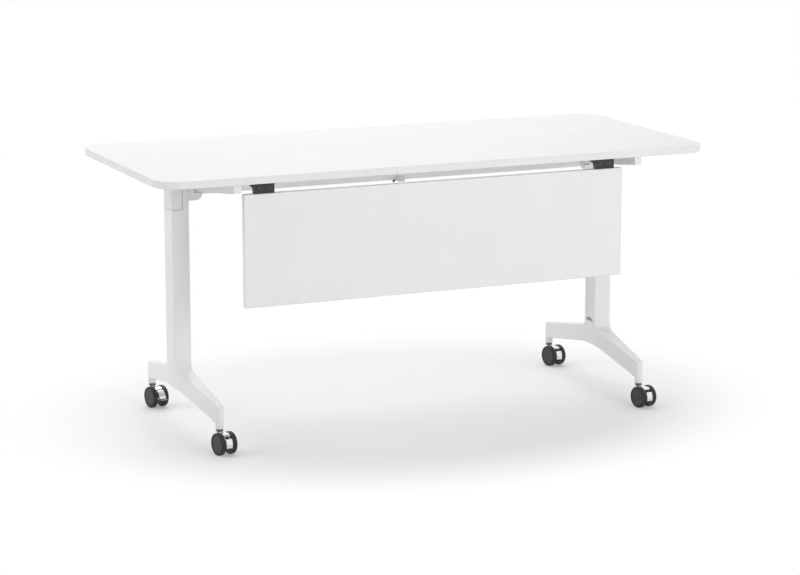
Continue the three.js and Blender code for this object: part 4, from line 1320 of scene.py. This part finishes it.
class TRAININGTABLE_OT_feet(bpy.types.Operator):
    """Builds the arched feet with their round posts"""

    bl_idname = "training_table.feet"
    bl_label = "Feet"

    def execute(self, context):
        """Makes the casting from two halves, with a bored post under each end."""
        sizes = context.scene.table_legs
        low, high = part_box("foot_right")
        shape = FootShape(low, high, sizes.post_diameter / 2)
        edit = bmesh.new()
        for sign in (-1, 1):
            half_foot(edit, shape, sign)
        foot = solid("foot", edit)
        stems = [(shape.stem, LEG_Y + sign * STEM_REACH) for sign in (-1, 1)]
        for stem in stems:
            post = rod("post", "Z", stem, shape.post - POST_INSET, POST_FOOT, ARCH_END + POST_LAP, 48)
            join(foot, soften(post, POST_ROUND, 2))
        cut(foot, *[rod("bore", "Z", stem, STEM_BORE, 0.0, STEM_BORE_TOP, 24) for stem in stems])
        fit_pair(foot, "foot_casting", "legs", lacquer(context.scene), "white_casting", "foot")
        return {"FINISHED"}


# Casters, each drawn with its stem at the origin; angles round the axle are in degrees

CORNERS = ("front_left", "front_right", "rear_left", "rear_right")
RAISED = "rear_left"
AXLE_HEIGHT = 30 * MM
AXLE_BORE = 3.8 * MM
WHEEL_WIDTH = 14 * MM
WHEEL_GAP = 21 * MM
FACE_SETBACK = 1 * MM
HUB_WALL = 3 * MM
HUB_GAP = 0.1 * MM
CAP_RING = 8.3 * MM
# Rounding of the tread's inner edge, as a share of the outer one
INNER_TREAD_SHARE = 0.6
HOOD_HALF = WHEEL_GAP / 2 - 0.8 * MM
HOOD_CHEEK = 3.5 * MM
HOOD_RADIUS = 28.5 * MM
HOOD_ROOF = 4.5 * MM
HOOD_ROUND = 0.8 * MM
HOOD_REAR = 28
HOOD_FRONT = 126
CHEEK_RADIUS = 23.5 * MM
CHEEK_FRONT = 193
POCKET_REAR = 110
POCKET_FRONT = 215
HUB_RADIUS = 9 * MM
HUB_FRONT = 250
HUB_REAR = 330
POCKET_GAP = 0.8 * MM
BOSS_LOW = 34.8 * MM
BOSS_TOP = 57.8 * MM
BOSS_BORE = 4.9 * MM
STEM_FOOT = 38.2 * MM
STEM_GAP = 0.4 * MM
STEM_RADIUS = 4.5 * MM
STEM_SHANK = 5.5 * MM
STEM_TOP = 111 * MM
COLLAR_RADIUS = 10 * MM
COLLAR_LOW = 58.2 * MM
COLLAR_TOP = 64.7 * MM
PEDAL_PIVOT = (-13.3 * MM, 14.6 * MM)
PEDAL_BORE = 2.4 * MM
PEDAL_PIN = 2 * MM
PEDAL_EYE = 3.8 * MM
PEDAL_RADIUS = 29.5 * MM
PEDAL_BACK = 25 * MM
PAD_HALF = HOOD_HALF - 0.3 * MM
PAD_THICKNESS = 3.3 * MM
PAD_ROUND = 0.9 * MM
PAD_TOP = 145
PAD_BOTTOM = 200
ARM_THICKNESS = 1 * MM
ARM_ROUND = 0.25 * MM
ARM_TOP = PAD_TOP + 2
WEB_TOP = PAD_TOP + 5
WEB_BOTTOM = PAD_TOP + 25
WEB_GAP = 0.4 * MM
# How far the web reaches into the arm, as a share of the arm's thickness
WEB_SHARE = 0.6
LIP_RADIUS = 38 * MM
LIP_ROOT = PAD_BOTTOM + 0.5
LIP_TOP = PAD_BOTTOM + 2
LIP_BOTTOM = 206
RIB_FIRST = PAD_TOP + 12
RIB_LAST = PAD_BOTTOM - 8


def caster_place(corner, sizes):
    """Moves a caster from its own frame to its corner of the table."""
    low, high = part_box(corner + "_caster_stem")
    middle = (low + high) / 2
    return Matrix.Translation((middle.x, middle.y, 0.0)) @ Matrix.Rotation(sizes.turn, 4, "Z")


def axle_point(sizes):
    """Where the axle lies in a caster, as Y and Z."""
    return -sizes.trail, AXLE_HEIGHT


def pedal_pivot(sizes):
    """Where a brake pedal turns in a caster, as Y and Z."""
    y, z = axle_point(sizes)
    return y + PEDAL_PIVOT[0], z + PEDAL_PIVOT[1]


def pedal_place(corner, sizes):
    """Moves a pedal to its caster; one of the four stands raised."""
    put = caster_place(corner, sizes)
    if corner != RAISED:
        return put
    pivot = Vector((0.0, *pedal_pivot(sizes)))
    lift = Matrix.Rotation(-sizes.lift, 4, "X")
    return put @ Matrix.Translation(pivot) @ lift @ Matrix.Translation(-pivot)


def hood_piece(sizes):
    """The plated hood between the wheels, with its boss round the stem."""
    axle = axle_point(sizes)
    outline = (
        arc(axle, HOOD_RADIUS, HOOD_REAR, HOOD_FRONT, 40)
        + arc(axle, CHEEK_RADIUS, HOOD_FRONT, CHEEK_FRONT, 20)
        + arc(axle, HUB_RADIUS, HUB_FRONT, HUB_REAR, 14)
    )
    pocket = (
        arc(axle, HOOD_RADIUS - HOOD_ROOF, POCKET_REAR, HOOD_FRONT, 6)
        + arc(axle, AXLE_HEIGHT + PAST, HOOD_FRONT, POCKET_FRONT, 12)
        + arc(axle, HUB_RADIUS + POCKET_GAP, POCKET_FRONT, POCKET_REAR, 14)
    )
    hood = prism("hood", "X", outline, -HOOD_HALF, HOOD_HALF)
    cut(hood, prism("pocket", "X", pocket, HOOD_CHEEK - HOOD_HALF, HOOD_HALF - HOOD_CHEEK))
    soften(hood, HOOD_ROUND)
    boss = [
        (0.0, BOSS_LOW), (HOOD_HALF, BOSS_LOW), (HOOD_HALF, BOSS_TOP - HOOD_ROUND),
        (HOOD_HALF - HOOD_ROUND, BOSS_TOP), (0.0, BOSS_TOP),
    ]
    join(hood, lathe("boss", "Z", (0.0, 0.0), boss, 48))
    return cut(
        hood,
        rod("bore", "Z", (0.0, 0.0), BOSS_BORE, STEM_FOOT - STEM_GAP, BOSS_TOP + PAST, 32),
        rod("bore", "X", axle, AXLE_BORE, -PAST, PAST, 32),
        rod("bore", "X", pedal_pivot(sizes), PEDAL_BORE, -PAST, PAST, 24),
        block("level", -PAST, PAST, -PAST, PAST, BOSS_TOP, BOSS_TOP + PAST),
    )


def pad_piece(sizes):
    """The plated pad of a brake pedal."""
    axle = axle_point(sizes)
    face = (
        arc(axle, PEDAL_RADIUS, PAD_TOP, PAD_BOTTOM, 20)
        + arc(axle, PEDAL_RADIUS - PAD_THICKNESS, PAD_BOTTOM, PAD_TOP, 20)
    )
    return soften(prism("pad", "X", face, -PAD_HALF, PAD_HALF), PAD_ROUND)


def arm_piece(sizes):
    """A brake pedal's arm behind the pad: a lip below, and a web up to the eye on its pin."""
    axle, pivot = axle_point(sizes), pedal_pivot(sizes)
    back = (
        arc(axle, PEDAL_BACK + ARM_THICKNESS, ARM_TOP, LIP_ROOT, 18)
        + arc(axle, LIP_RADIUS, LIP_TOP, LIP_BOTTOM, 3)
        + arc(axle, PEDAL_BACK, LIP_BOTTOM, ARM_TOP, 20)
    )
    arm = prism("arm", "X", back, -PAD_HALF, PAD_HALF)
    soften(arm, ARM_ROUND, 2, 50.0)
    eye = PEDAL_EYE * math.sqrt(0.5)
    web = (
        [(pivot[0] - eye, pivot[1] + eye)]
        + arc(axle, PEDAL_BACK + WEB_SHARE * ARM_THICKNESS, WEB_TOP, WEB_BOTTOM, 6)
        + [(pivot[0] + eye, pivot[1] - eye)]
    )
    inner = HOOD_HALF - HOOD_CHEEK - WEB_GAP
    return join(
        arm,
        prism("web", "X", web, -inner, inner),
        rod("eye", "X", pivot, PEDAL_EYE, -inner, inner),
        rod("pin", "X", pivot, PEDAL_PIN, -PAD_HALF, PAD_HALF, 24),
    )


def wheel_piece(sizes):
    """A wheel's core in its own frame: inner side at the origin, face with a ringed cap towards +X."""
    rim = AXLE_HEIGHT - sizes.rim
    face = WHEEL_WIDTH - FACE_SETBACK
    bore, depth = AXLE_BORE + HUB_GAP, face - HUB_WALL
    profile = [
        (0.0, depth), (bore, depth), (bore, 0.0), (rim - 1 * MM, 0.0), (rim - 0.4 * MM, 0.6 * MM),
        (rim + 0.5 * MM, 0.6 * MM), (rim + 0.5 * MM, face - 1.5 * MM), (rim - 0.3 * MM, face - 1.2 * MM),
        (rim - 0.9 * MM, face - 0.2 * MM), (rim - 1.3 * MM, face), (CAP_RING + 0.7 * MM, face),
        (CAP_RING + 0.3 * MM, face - 0.5 * MM), (CAP_RING - 0.3 * MM, face - 0.5 * MM),
        (CAP_RING - 0.7 * MM, face), (CAP_RING - 1.3 * MM, face + 0.1 * MM), (0.0, face + 0.3 * MM),
    ]
    return lathe("wheel", "X", (0.0, 0.0), profile, 96)


def tyre_piece(sizes):
    """The dark tyre round a wheel's core, in the core's frame."""
    edge = sizes.tread_round
    inner_edge = edge * INNER_TREAD_SHARE
    rim = AXLE_HEIGHT - sizes.rim
    inner_round = arc((inner_edge, AXLE_HEIGHT - inner_edge), inner_edge, 180, 90, 6)
    outer_round = arc((WHEEL_WIDTH - edge, AXLE_HEIGHT - edge), edge, 90, 0, 10)
    section = (
        [(rim, 1 * MM), (rim + 1 * MM, 0.0)]
        + [(y, x) for x, y in inner_round]
        + [(AXLE_HEIGHT, WHEEL_WIDTH / 2)]
        + [(y, x) for x, y in outer_round]
        + [(rim + 0.4 * MM, WHEEL_WIDTH), (rim, WHEEL_WIDTH - 0.3 * MM)]
    )
    return hoop("tyre", "X", section, 96)


def stem_piece():
    """A caster's stem with its collar, which has a step near its top."""
    step, bevel = 1 * MM, 0.6 * MM
    profile = [
        (0.0, STEM_FOOT), (STEM_RADIUS, STEM_FOOT), (STEM_RADIUS, COLLAR_LOW),
        (COLLAR_RADIUS - bevel, COLLAR_LOW), (COLLAR_RADIUS, COLLAR_LOW + bevel),
        (COLLAR_RADIUS, COLLAR_TOP - 2.4 * MM), (COLLAR_RADIUS - step, COLLAR_TOP - 1.8 * MM),
        (COLLAR_RADIUS - step, COLLAR_TOP - 0.4 * MM), (COLLAR_RADIUS - 1.4 * MM, COLLAR_TOP),
        (STEM_SHANK, COLLAR_TOP), (STEM_SHANK, STEM_TOP - step), (STEM_SHANK - step, STEM_TOP),
        (0.0, STEM_TOP),
    ]
    return lathe("stem", "Z", (0.0, 0.0), profile, 48)


class TRAININGTABLE_OT_casters(bpy.types.Operator):
    """Builds the four casters: stems, hoods, wheels and brake pedals"""

    bl_idname = "training_table.casters"
    bl_label = "Casters"

    def execute(self, context):
        """Makes one pattern of each piece and fits its copies at the corners."""
        scene = context.scene
        sizes = scene.table_casters
        stem, hood, wheel, band = stem_piece(), hood_piece(sizes), wheel_piece(sizes), tyre_piece(sizes)
        pad, arm = pad_piece(sizes), arm_piece(sizes)
        on_right = Matrix.Translation((WHEEL_GAP / 2, *axle_point(sizes)))
        bright = chrome(scene)
        for corner in CORNERS:
            put, pressed = caster_place(corner, sizes), pedal_place(corner, sizes)
            caster, pedal = corner + "_caster", corner + "_pedal"
            fit_copy(stem, put, corner + "_stem_bolt", "legs", dark_steel(), "dark_steel", caster + "_stem")
            fit_copy(hood, put, corner + "_hood", caster, bright, "chrome", caster + "_hood")
            fit_copy(pad, pressed, pedal + "_pad", pedal, bright, "chrome", corner + "_brake_pedal")
            # The raised pedal's lip, standing in front of the wheels, is satin metal; the same lip on the
            # three pressed pedals is painted black: painted shade, where it sits in the dark between the
            # wheels under the pad.
            if corner == RAISED:
                fit_copy(arm, pressed, pedal + "_lip", pedal, satin_zinc(), "dark_steel")
            else:
                fit_copy(arm, pressed, pedal + "_lip", pedal, black_plastic(scene), "black_plastic")
            for side, sign in SIDES:
                wheel_put = put @ Matrix.Diagonal((sign, 1.0, 1.0, 1.0)) @ on_right
                name, node = f"{corner}_{side}", f"{corner}_wheel_{side}"
                body = name + "_wheel"
                fit_copy(wheel, wheel_put, name + "_roller", body, wheel_plastic(scene), "wheel_grey", node)
                fit_copy(band, wheel_put, name + "_tyre", body, tyre(), "wheel_grey")
        for pattern in (stem, hood, wheel, band, pad, arm):
            discard(pattern)
        return {"FINISHED"}


# Repeated small parts

# Shares of a screw head's radius and height
HEAD_WAIST = 0.93
HEAD_CROWN = 0.62
HEAD_HALF = 0.5
HEAD_LAP = 0.499
CROSS_WIDTH = 0.26
CROSS_DEPTH = 0.8
HEAD_CORNERS = 24


def sites_object(name, sites):
    """A cloud of points, each with the direction that it faces."""
    mesh = bpy.data.meshes.new(name)
    mesh.from_pydata([tuple(point) for point, _ in sites], [], [])
    facing = mesh.attributes.new("facing", "FLOAT_VECTOR", "POINT")
    for i, (_, direction) in enumerate(sites):
        facing.data[i].vector = direction
    return linked(name, mesh)


def new_tree(name, inputs):
    """A Geometry Nodes tree with a named length for each input, and the input's identifiers."""
    tree = bpy.data.node_groups.new(name, "GeometryNodeTree")
    tree.interface.new_socket(name="Sites", in_out="INPUT", socket_type="NodeSocketGeometry")
    keys = {}
    for label, default in inputs.items():
        made = tree.interface.new_socket(name=label, in_out="INPUT", socket_type="NodeSocketFloat")
        made.subtype = "DISTANCE"
        made.default_value = default
        keys[label] = made.identifier
    tree.interface.new_socket(name="Pieces", in_out="OUTPUT", socket_type="NodeSocketGeometry")
    return tree, keys


def scaled(tree, socket, factor):
    """A length of the tree, times a factor."""
    times = tree.nodes.new("ShaderNodeMath")
    times.operation = "MULTIPLY"
    times.inputs[1].default_value = factor
    tree.links.new(socket, times.inputs[0])
    return times.outputs[0]


def together(tree, x, y, z):
    """Three lengths of the tree as one vector."""
    vector = tree.nodes.new("ShaderNodeCombineXYZ")
    for socket, key in zip((x, y, z), ("X", "Y", "Z")):
        if socket is not None:
            tree.links.new(socket, vector.inputs[key])
    return vector.outputs["Vector"]


def shifted(tree, geometry, z):
    """Moves a shape of the tree along Z."""
    move = tree.nodes.new("GeometryNodeTransform")
    tree.links.new(geometry, move.inputs["Geometry"])
    tree.links.new(together(tree, None, None, z), move.inputs["Translation"])
    return move.outputs["Geometry"]


def box_shape(tree, x, y, z):
    """A block of the tree round the origin."""
    bar = tree.nodes.new("GeometryNodeMeshCube")
    tree.links.new(together(tree, x, y, z), bar.inputs["Size"])
    return bar.outputs["Mesh"]


def cone_shape(tree, low_radius, high_radius, depth):
    """A short truncated cone of the tree with its base at the origin."""
    made = tree.nodes.new("GeometryNodeMeshCone")
    made.fill_type = "NGON"
    made.inputs["Vertices"].default_value = HEAD_CORNERS
    tree.links.new(low_radius, made.inputs["Radius Bottom"])
    tree.links.new(high_radius, made.inputs["Radius Top"])
    tree.links.new(depth, made.inputs["Depth"])
    return made.outputs["Mesh"]


def boolean(tree, operation, base, tools):
    """Joins or cuts shapes of the tree."""
    made = tree.nodes.new("GeometryNodeMeshBoolean")
    made.operation = operation
    made.solver = "EXACT"
    tree.links.new(base, made.inputs["Mesh 1" if operation == "DIFFERENCE" else "Mesh 2"])
    for tool in tools:
        tree.links.new(tool, made.inputs["Mesh 2"])
    return made.outputs["Mesh"]


def close_tree(tree, entry, unit, finish):
    """Sets one unit on every site, facing its way, and ends the tree with plain mesh and its finish."""
    nodes, links = tree.nodes, tree.links
    facing = nodes.new("GeometryNodeInputNamedAttribute")
    facing.data_type = "FLOAT_VECTOR"
    facing.inputs["Name"].default_value = "facing"
    turn = nodes.new("FunctionNodeAlignRotationToVector")
    turn.axis = "Z"
    links.new(facing.outputs["Attribute"], turn.inputs["Vector"])
    spread = nodes.new("GeometryNodeInstanceOnPoints")
    links.new(entry.outputs["Sites"], spread.inputs["Points"])
    links.new(unit, spread.inputs["Instance"])
    links.new(turn.outputs["Rotation"], spread.inputs["Rotation"])
    plain = nodes.new("GeometryNodeRealizeInstances")
    links.new(spread.outputs["Instances"], plain.inputs["Geometry"])
    painted = nodes.new("GeometryNodeSetMaterial")
    painted.inputs["Material"].default_value = finish
    links.new(plain.outputs["Geometry"], painted.inputs["Geometry"])
    leave = nodes.new("NodeGroupOutput")
    links.new(painted.outputs["Geometry"], leave.inputs["Pieces"])


def screw_tree(sizes, finish):
    """Pan-head screws with a cross recess."""
    inputs = {"Head radius": sizes.screw_radius, "Head height": sizes.screw_height}
    tree, keys = new_tree("Screw heads", inputs)
    entry = tree.nodes.new("NodeGroupInput")
    radius, height = entry.outputs["Head radius"], entry.outputs["Head height"]
    half, waist = scaled(tree, height, HEAD_HALF), scaled(tree, radius, HEAD_WAIST)
    crown = cone_shape(tree, waist, scaled(tree, radius, HEAD_CROWN), half)
    crown = shifted(tree, crown, scaled(tree, height, HEAD_LAP))
    head = boolean(tree, "UNION", cone_shape(tree, radius, waist, half), [crown])
    narrow, deep = scaled(tree, radius, CROSS_WIDTH), scaled(tree, height, CROSS_DEPTH)
    bars = [box_shape(tree, radius, narrow, deep), box_shape(tree, narrow, radius, deep)]
    cross = [shifted(tree, bar, height) for bar in bars]
    close_tree(tree, entry, boolean(tree, "DIFFERENCE", head, cross), finish)
    return tree, keys


def rib_tree(sizes, finish):
    """Low grip ribs, half sunk in the pad."""
    inputs = {"Length": sizes.rib_length, "Width": sizes.rib_width, "Height": sizes.rib_height}
    tree, keys = new_tree("Grip ribs", inputs)
    entry = tree.nodes.new("NodeGroupInput")
    long_way, width, height = (entry.outputs[label] for label in inputs)
    close_tree(tree, entry, box_shape(tree, long_way, width, scaled(tree, height, 2.0)), finish)
    return tree, keys


def planted(name, sites, tree, keys, values):
    """Runs a tree on a cloud of sites and keeps the result as one plain mesh."""
    piece = sites_object(name, sites)
    step = piece.modifiers.new("Sites", "NODES")
    step.node_group = tree
    for label, value in values.items():
        step[keys[label]] = value
    settle(piece)
    if not piece.data.polygons:
        raise RuntimeError(name + " came out empty")
    return piece


# Screws on a hinge: across from its middle, then up from its foot or in from its rear
FRONT_SCREW = (15.5 * MM, 14.5 * MM)
FLANGE_SCREW = (14 * MM, 12 * MM)
# How far the lever plate's screw sits behind the plate's middle
PLATE_SCREW = 2 * MM


def screw_sites():
    """Where the screws sit on the hinges and the lever plate, and which way their heads face."""
    sites = []
    down, front = Vector((0, 0, -1)), Vector((0, -1, 0))
    for side, _ in SIDES:
        low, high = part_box("hinge_bracket_" + side)
        middle = (low.x + high.x) / 2
        flange_low = high.z - HINGE_FLANGE
        for across in (-1, 1):
            x, rise = middle + across * FRONT_SCREW[0], FRONT_SCREW[1]
            sites.append((Vector((x, low.y, low.z + rise)), front))
            x, inset = middle + across * FLANGE_SCREW[0], FLANGE_SCREW[1]
            sites.append((Vector((x, high.y - inset, flange_low)), down))
    low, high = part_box("lever_plate")
    middle = (low + high) / 2
    sites.append((Vector((middle.x, middle.y + PLATE_SCREW, low.z)), down))
    return sites


class TRAININGTABLE_OT_screws(bpy.types.Operator):
    """Sets the screw heads on the hinges and the lever plate"""

    bl_idname = "training_table.screws"
    bl_label = "Screws"

    def execute(self, context):
        """Plants one screw head at each site."""
        sizes = context.scene.table_frame
        tree, keys = screw_tree(sizes, grey_zinc())
        values = {"Head radius": sizes.screw_radius, "Head height": sizes.screw_height}
        heads = planted("top_screws", screw_sites(), tree, keys, values)
        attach(heads, "top")
        return {"FINISHED"}


class TRAININGTABLE_OT_grip_ribs(bpy.types.Operator):
    """Sets the grip ribs on the brake pedals"""

    bl_idname = "training_table.grip_ribs"
    bl_label = "Grip ribs"

    def execute(self, context):
        """Plants a row of ribs down the pad of each pedal."""
        sizes = context.scene.table_casters
        axle = Vector((0.0, *axle_point(sizes)))
        tree, keys = rib_tree(sizes, chrome(context.scene))
        values = {"Length": sizes.rib_length, "Width": sizes.rib_width, "Height": sizes.rib_height}
        row = arc(axle_point(sizes), PEDAL_RADIUS, RIB_FIRST, RIB_LAST, max(sizes.rib_count - 1, 1))
        points = [Vector((0.0, *point)) for point in row[:sizes.rib_count]]
        for corner in CORNERS:
            put = pedal_place(corner, sizes)
            sites = [(put @ point, put.to_3x3() @ (point - axle).normalized()) for point in points]
            ribs = planted(corner + "_pedal_ribs", sites, tree, keys, values)
            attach(ribs, corner + "_pedal")
        return {"FINISHED"}


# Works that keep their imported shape

def repaint(finish, *names):
    """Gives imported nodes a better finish."""
    for name in names:
        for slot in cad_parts[name].material_slots:
            slot.material = finish


class TRAININGTABLE_OT_inner_works(bpy.types.Operator):
    """Finishes the shafts, pins, rods, bushes, pads and axles"""

    bl_idname = "training_table.inner_works"
    bl_label = "Inner works"

    def execute(self, context):
        """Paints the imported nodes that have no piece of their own."""
        repaint(steel(), "lever_pin")
        for side, _ in SIDES:
            repaint(steel(), "pivot_shaft_" + side, "hinge_pin_" + side, "lock_rod_" + side)
            repaint(bronze(), "pivot_bush_" + side)
            repaint(rubber(), "stop_pad_" + side)
        for corner in CORNERS:
            repaint(steel(), corner + "_caster_axle")
        return {"FINISHED"}


# Stage

WHITE = (1.0, 1.0, 1.0, 1.0)
FLOOR_REACH = 14.0
LAMP_TARGET = (0.0, 0.0, 0.4)
# Place and size of each lamp
REAR_LAMP = ((0.6, 2.6, 3.3), (3.0, 2.0))
LEFT_LAMP = ((-4.4, 1.2, 2.4), (2.4, 2.4))
FRONT_LAMP = ((1.4, -5.2, 1.7), (3.0, 2.0))
SENSOR_WIDTH = 36.0
CAMERA_REACH = 100.0


def largest(nodes, links, one, other):
    """The larger of two factors."""
    choose = nodes.new("ShaderNodeMath")
    choose.operation = "MAXIMUM"
    links.new(one, choose.inputs[0])
    links.new(other, choose.inputs[1])
    return choose.outputs[0]


def background_rays(nodes, links):
    """A factor that is 1 for what the camera sees, straight or by a reflection or through glass."""
    rays = nodes.new("ShaderNodeLightPath").outputs
    seen = largest(nodes, links, rays["Is Camera Ray"], rays["Is Glossy Ray"])
    return largest(nodes, links, seen, rays["Is Transmission Ray"])


def white_world(settings):
    """White behind the table, with a plain ambient light."""
    world = bpy.data.worlds.new("Studio")
    bpy.context.scene.world = world
    world.use_nodes = True
    nodes, links = world.node_tree.nodes, world.node_tree.links
    ambient = nodes["Background"]
    seen = nodes.new("ShaderNodeBackground")
    for light, level in ((ambient, settings.ambient), (seen, 1.0)):
        light.inputs["Color"].default_value = WHITE
        light.inputs["Strength"].default_value = level
    choose = nodes.new("ShaderNodeMixShader")
    links.new(background_rays(nodes, links), choose.inputs["Fac"])
    links.new(ambient.outputs["Background"], choose.inputs[1])
    links.new(seen.outputs["Background"], choose.inputs[2])
    links.new(choose.outputs["Shader"], nodes["World Output"].inputs["Surface"])


def floor_fade(nodes, links, settings):
    """How white the floor looks: lightly under the table, fully beyond the shadow."""
    shrink = nodes.new("ShaderNodeVectorMath")
    shrink.operation = "MULTIPLY"
    shrink.inputs[1].default_value = (1 / settings.shadow_length, 1 / settings.shadow_width, 0.0)
    links.new(nodes.new("ShaderNodeTexCoord").outputs["Object"], shrink.inputs[0])
    away = nodes.new("ShaderNodeVectorMath")
    away.operation = "LENGTH"
    links.new(shrink.outputs["Vector"], away.inputs[0])
    fade = nodes.new("ShaderNodeMapRange")
    fade.interpolation_type = "SMOOTHSTEP"
    fade.inputs["From Min"].default_value = settings.shadow_inner
    fade.inputs["From Max"].default_value = settings.shadow_outer
    fade.inputs["To Min"].default_value = settings.floor_lift
    fade.inputs["To Max"].default_value = 1.0
    links.new(away.outputs["Value"], fade.inputs["Value"])
    return fade.outputs["Result"]


def floor_finish(settings):
    """A pale floor that keeps the table's soft shadow."""
    finish = bpy.data.materials.new("pale_floor")
    finish.use_nodes = True
    nodes, links = finish.node_tree.nodes, finish.node_tree.links
    nodes.remove(nodes["Principled BSDF"])
    lit = nodes.new("ShaderNodeBsdfDiffuse")
    lit.inputs["Color"].default_value = (*settings.floor, 1.0)
    white = nodes.new("ShaderNodeEmission")
    white.inputs["Color"].default_value = WHITE
    share = nodes.new("ShaderNodeMath")
    share.operation = "MULTIPLY"
    links.new(background_rays(nodes, links), share.inputs[0])
    links.new(floor_fade(nodes, links, settings), share.inputs[1])
    choose = nodes.new("ShaderNodeMixShader")
    links.new(share.outputs[0], choose.inputs["Fac"])
    links.new(lit.outputs["BSDF"], choose.inputs[1])
    links.new(white.outputs["Emission"], choose.inputs[2])
    links.new(choose.outputs["Shader"], nodes["Material Output"].inputs["Surface"])
    return finish


def lay_floor(settings):
    """A wide plain floor under the table."""
    reach = FLOOR_REACH
    mesh = bpy.data.meshes.new("floor")
    corners = [(-reach, -reach, 0.0), (reach, -reach, 0.0), (reach, reach, 0.0), (-reach, reach, 0.0)]
    mesh.from_pydata(corners, [], [(0, 1, 2, 3)])
    mesh.materials.append(floor_finish(settings))
    floor = linked("floor", mesh)


def soft_lamp(name, where, size, power, reflected=True):
    """A large soft lamp that looks at the table; reflected tells whether glossy surfaces mirror it."""
    lamp = bpy.data.lights.new(name, "AREA")
    lamp.shape = "RECTANGLE"
    lamp.size, lamp.size_y = size
    lamp.energy = power
    holder = linked(name, lamp)
    holder.location = where
    aim = Vector(LAMP_TARGET) - Vector(where)
    holder.rotation_euler = aim.to_track_quat("-Z", "Y").to_euler()
    holder.visible_camera = False
    holder.visible_glossy = reflected


def set_camera(settings):
    """The camera at its place, looking at the table's front and left."""
    camera = bpy.data.cameras.new("camera")
    camera.sensor_fit = "HORIZONTAL"
    camera.sensor_width = SENSOR_WIDTH
    camera.lens = settings.focal_length
    camera.clip_end = CAMERA_REACH
    holder = linked("camera", camera)
    holder.location = settings.camera_place
    holder.rotation_euler = (math.pi / 2 - settings.camera_pitch, 0.0, -settings.camera_yaw)
    bpy.context.scene.camera = holder


class TRAININGTABLE_OT_stage(bpy.types.Operator):
    """Sets up the floor, the lamps and the camera"""

    bl_idname = "training_table.stage"
    bl_label = "Stage"

    def execute(self, context):
        """Lights the table evenly, with the low lamps kept out of the board's reflections."""
        settings = context.scene.table_stage
        context.scene.view_settings.view_transform = "Standard"
        white_world(settings)
        lay_floor(settings)
        soft_lamp("rear_lamp", *REAR_LAMP, settings.rear)
        soft_lamp("left_lamp", *LEFT_LAMP, settings.left, reflected=False)
        soft_lamp("front_lamp", *FRONT_LAMP, settings.front, reflected=False)
        set_camera(settings)
        return {"FINISHED"}


# Sidebar and registration

class TRAININGTABLE_PT_pieces(bpy.types.Panel):
    """Lists the pieces and their sizes"""

    bl_idname = "TRAININGTABLE_PT_pieces"
    bl_label = "Training table"
    bl_space_type = "VIEW_3D"
    bl_region_type = "UI"
    bl_category = "Training table"

    def draw(self, context):
        """Shows a button for each operator and a box for each group of sizes."""
        for operator in OPERATORS:
            self.layout.operator(operator.bl_idname)
        for name in SETTINGS:
            group = getattr(context.scene, name)
            box = self.layout.box()
            for prop in group.bl_rna.properties:
                if prop.identifier not in {"rna_type", "name"}:
                    box.prop(group, prop.identifier)


SETTINGS = {
    "table_board": BoardSettings,
    "table_legs": LegSettings,
    "table_frame": FrameSettings,
    "table_casters": CasterSettings,
    "table_stage": StageSettings,
}
OPERATORS = (
    TRAININGTABLE_OT_stage,
    TRAININGTABLE_OT_board,
    TRAININGTABLE_OT_front_panel,
    TRAININGTABLE_OT_tilting_frame,
    TRAININGTABLE_OT_hinges,
    TRAININGTABLE_OT_lock,
    TRAININGTABLE_OT_columns,
    TRAININGTABLE_OT_pivot_housings,
    TRAININGTABLE_OT_feet,
    TRAININGTABLE_OT_casters,
    TRAININGTABLE_OT_screws,
    TRAININGTABLE_OT_grip_ribs,
    TRAININGTABLE_OT_inner_works,
)
CLASSES = (*SETTINGS.values(), *OPERATORS, TRAININGTABLE_PT_pieces)


def register():
    """Adds the classes, and the groups of sizes to the scene."""
    for made in CLASSES:
        bpy.utils.register_class(made)
    for name, group in SETTINGS.items():
        setattr(bpy.types.Scene, name, PointerProperty(type=group))


def unregister():
    """Takes away what register added."""
    for name in SETTINGS:
        delattr(bpy.types.Scene, name)
    for made in reversed(CLASSES):
        bpy.utils.unregister_class(made)


def main():
    """Builds everything in order."""
    register()
    build = bpy.ops.training_table
    build.stage()
    build.board()
    build.front_panel()
    build.tilting_frame()
    build.hinges()
    build.lock()
    build.columns()
    build.pivot_housings()
    build.feet()
    build.casters()
    build.screws()
    build.grip_ribs()
    build.inner_works()


if __name__ == "__main__":
    main()
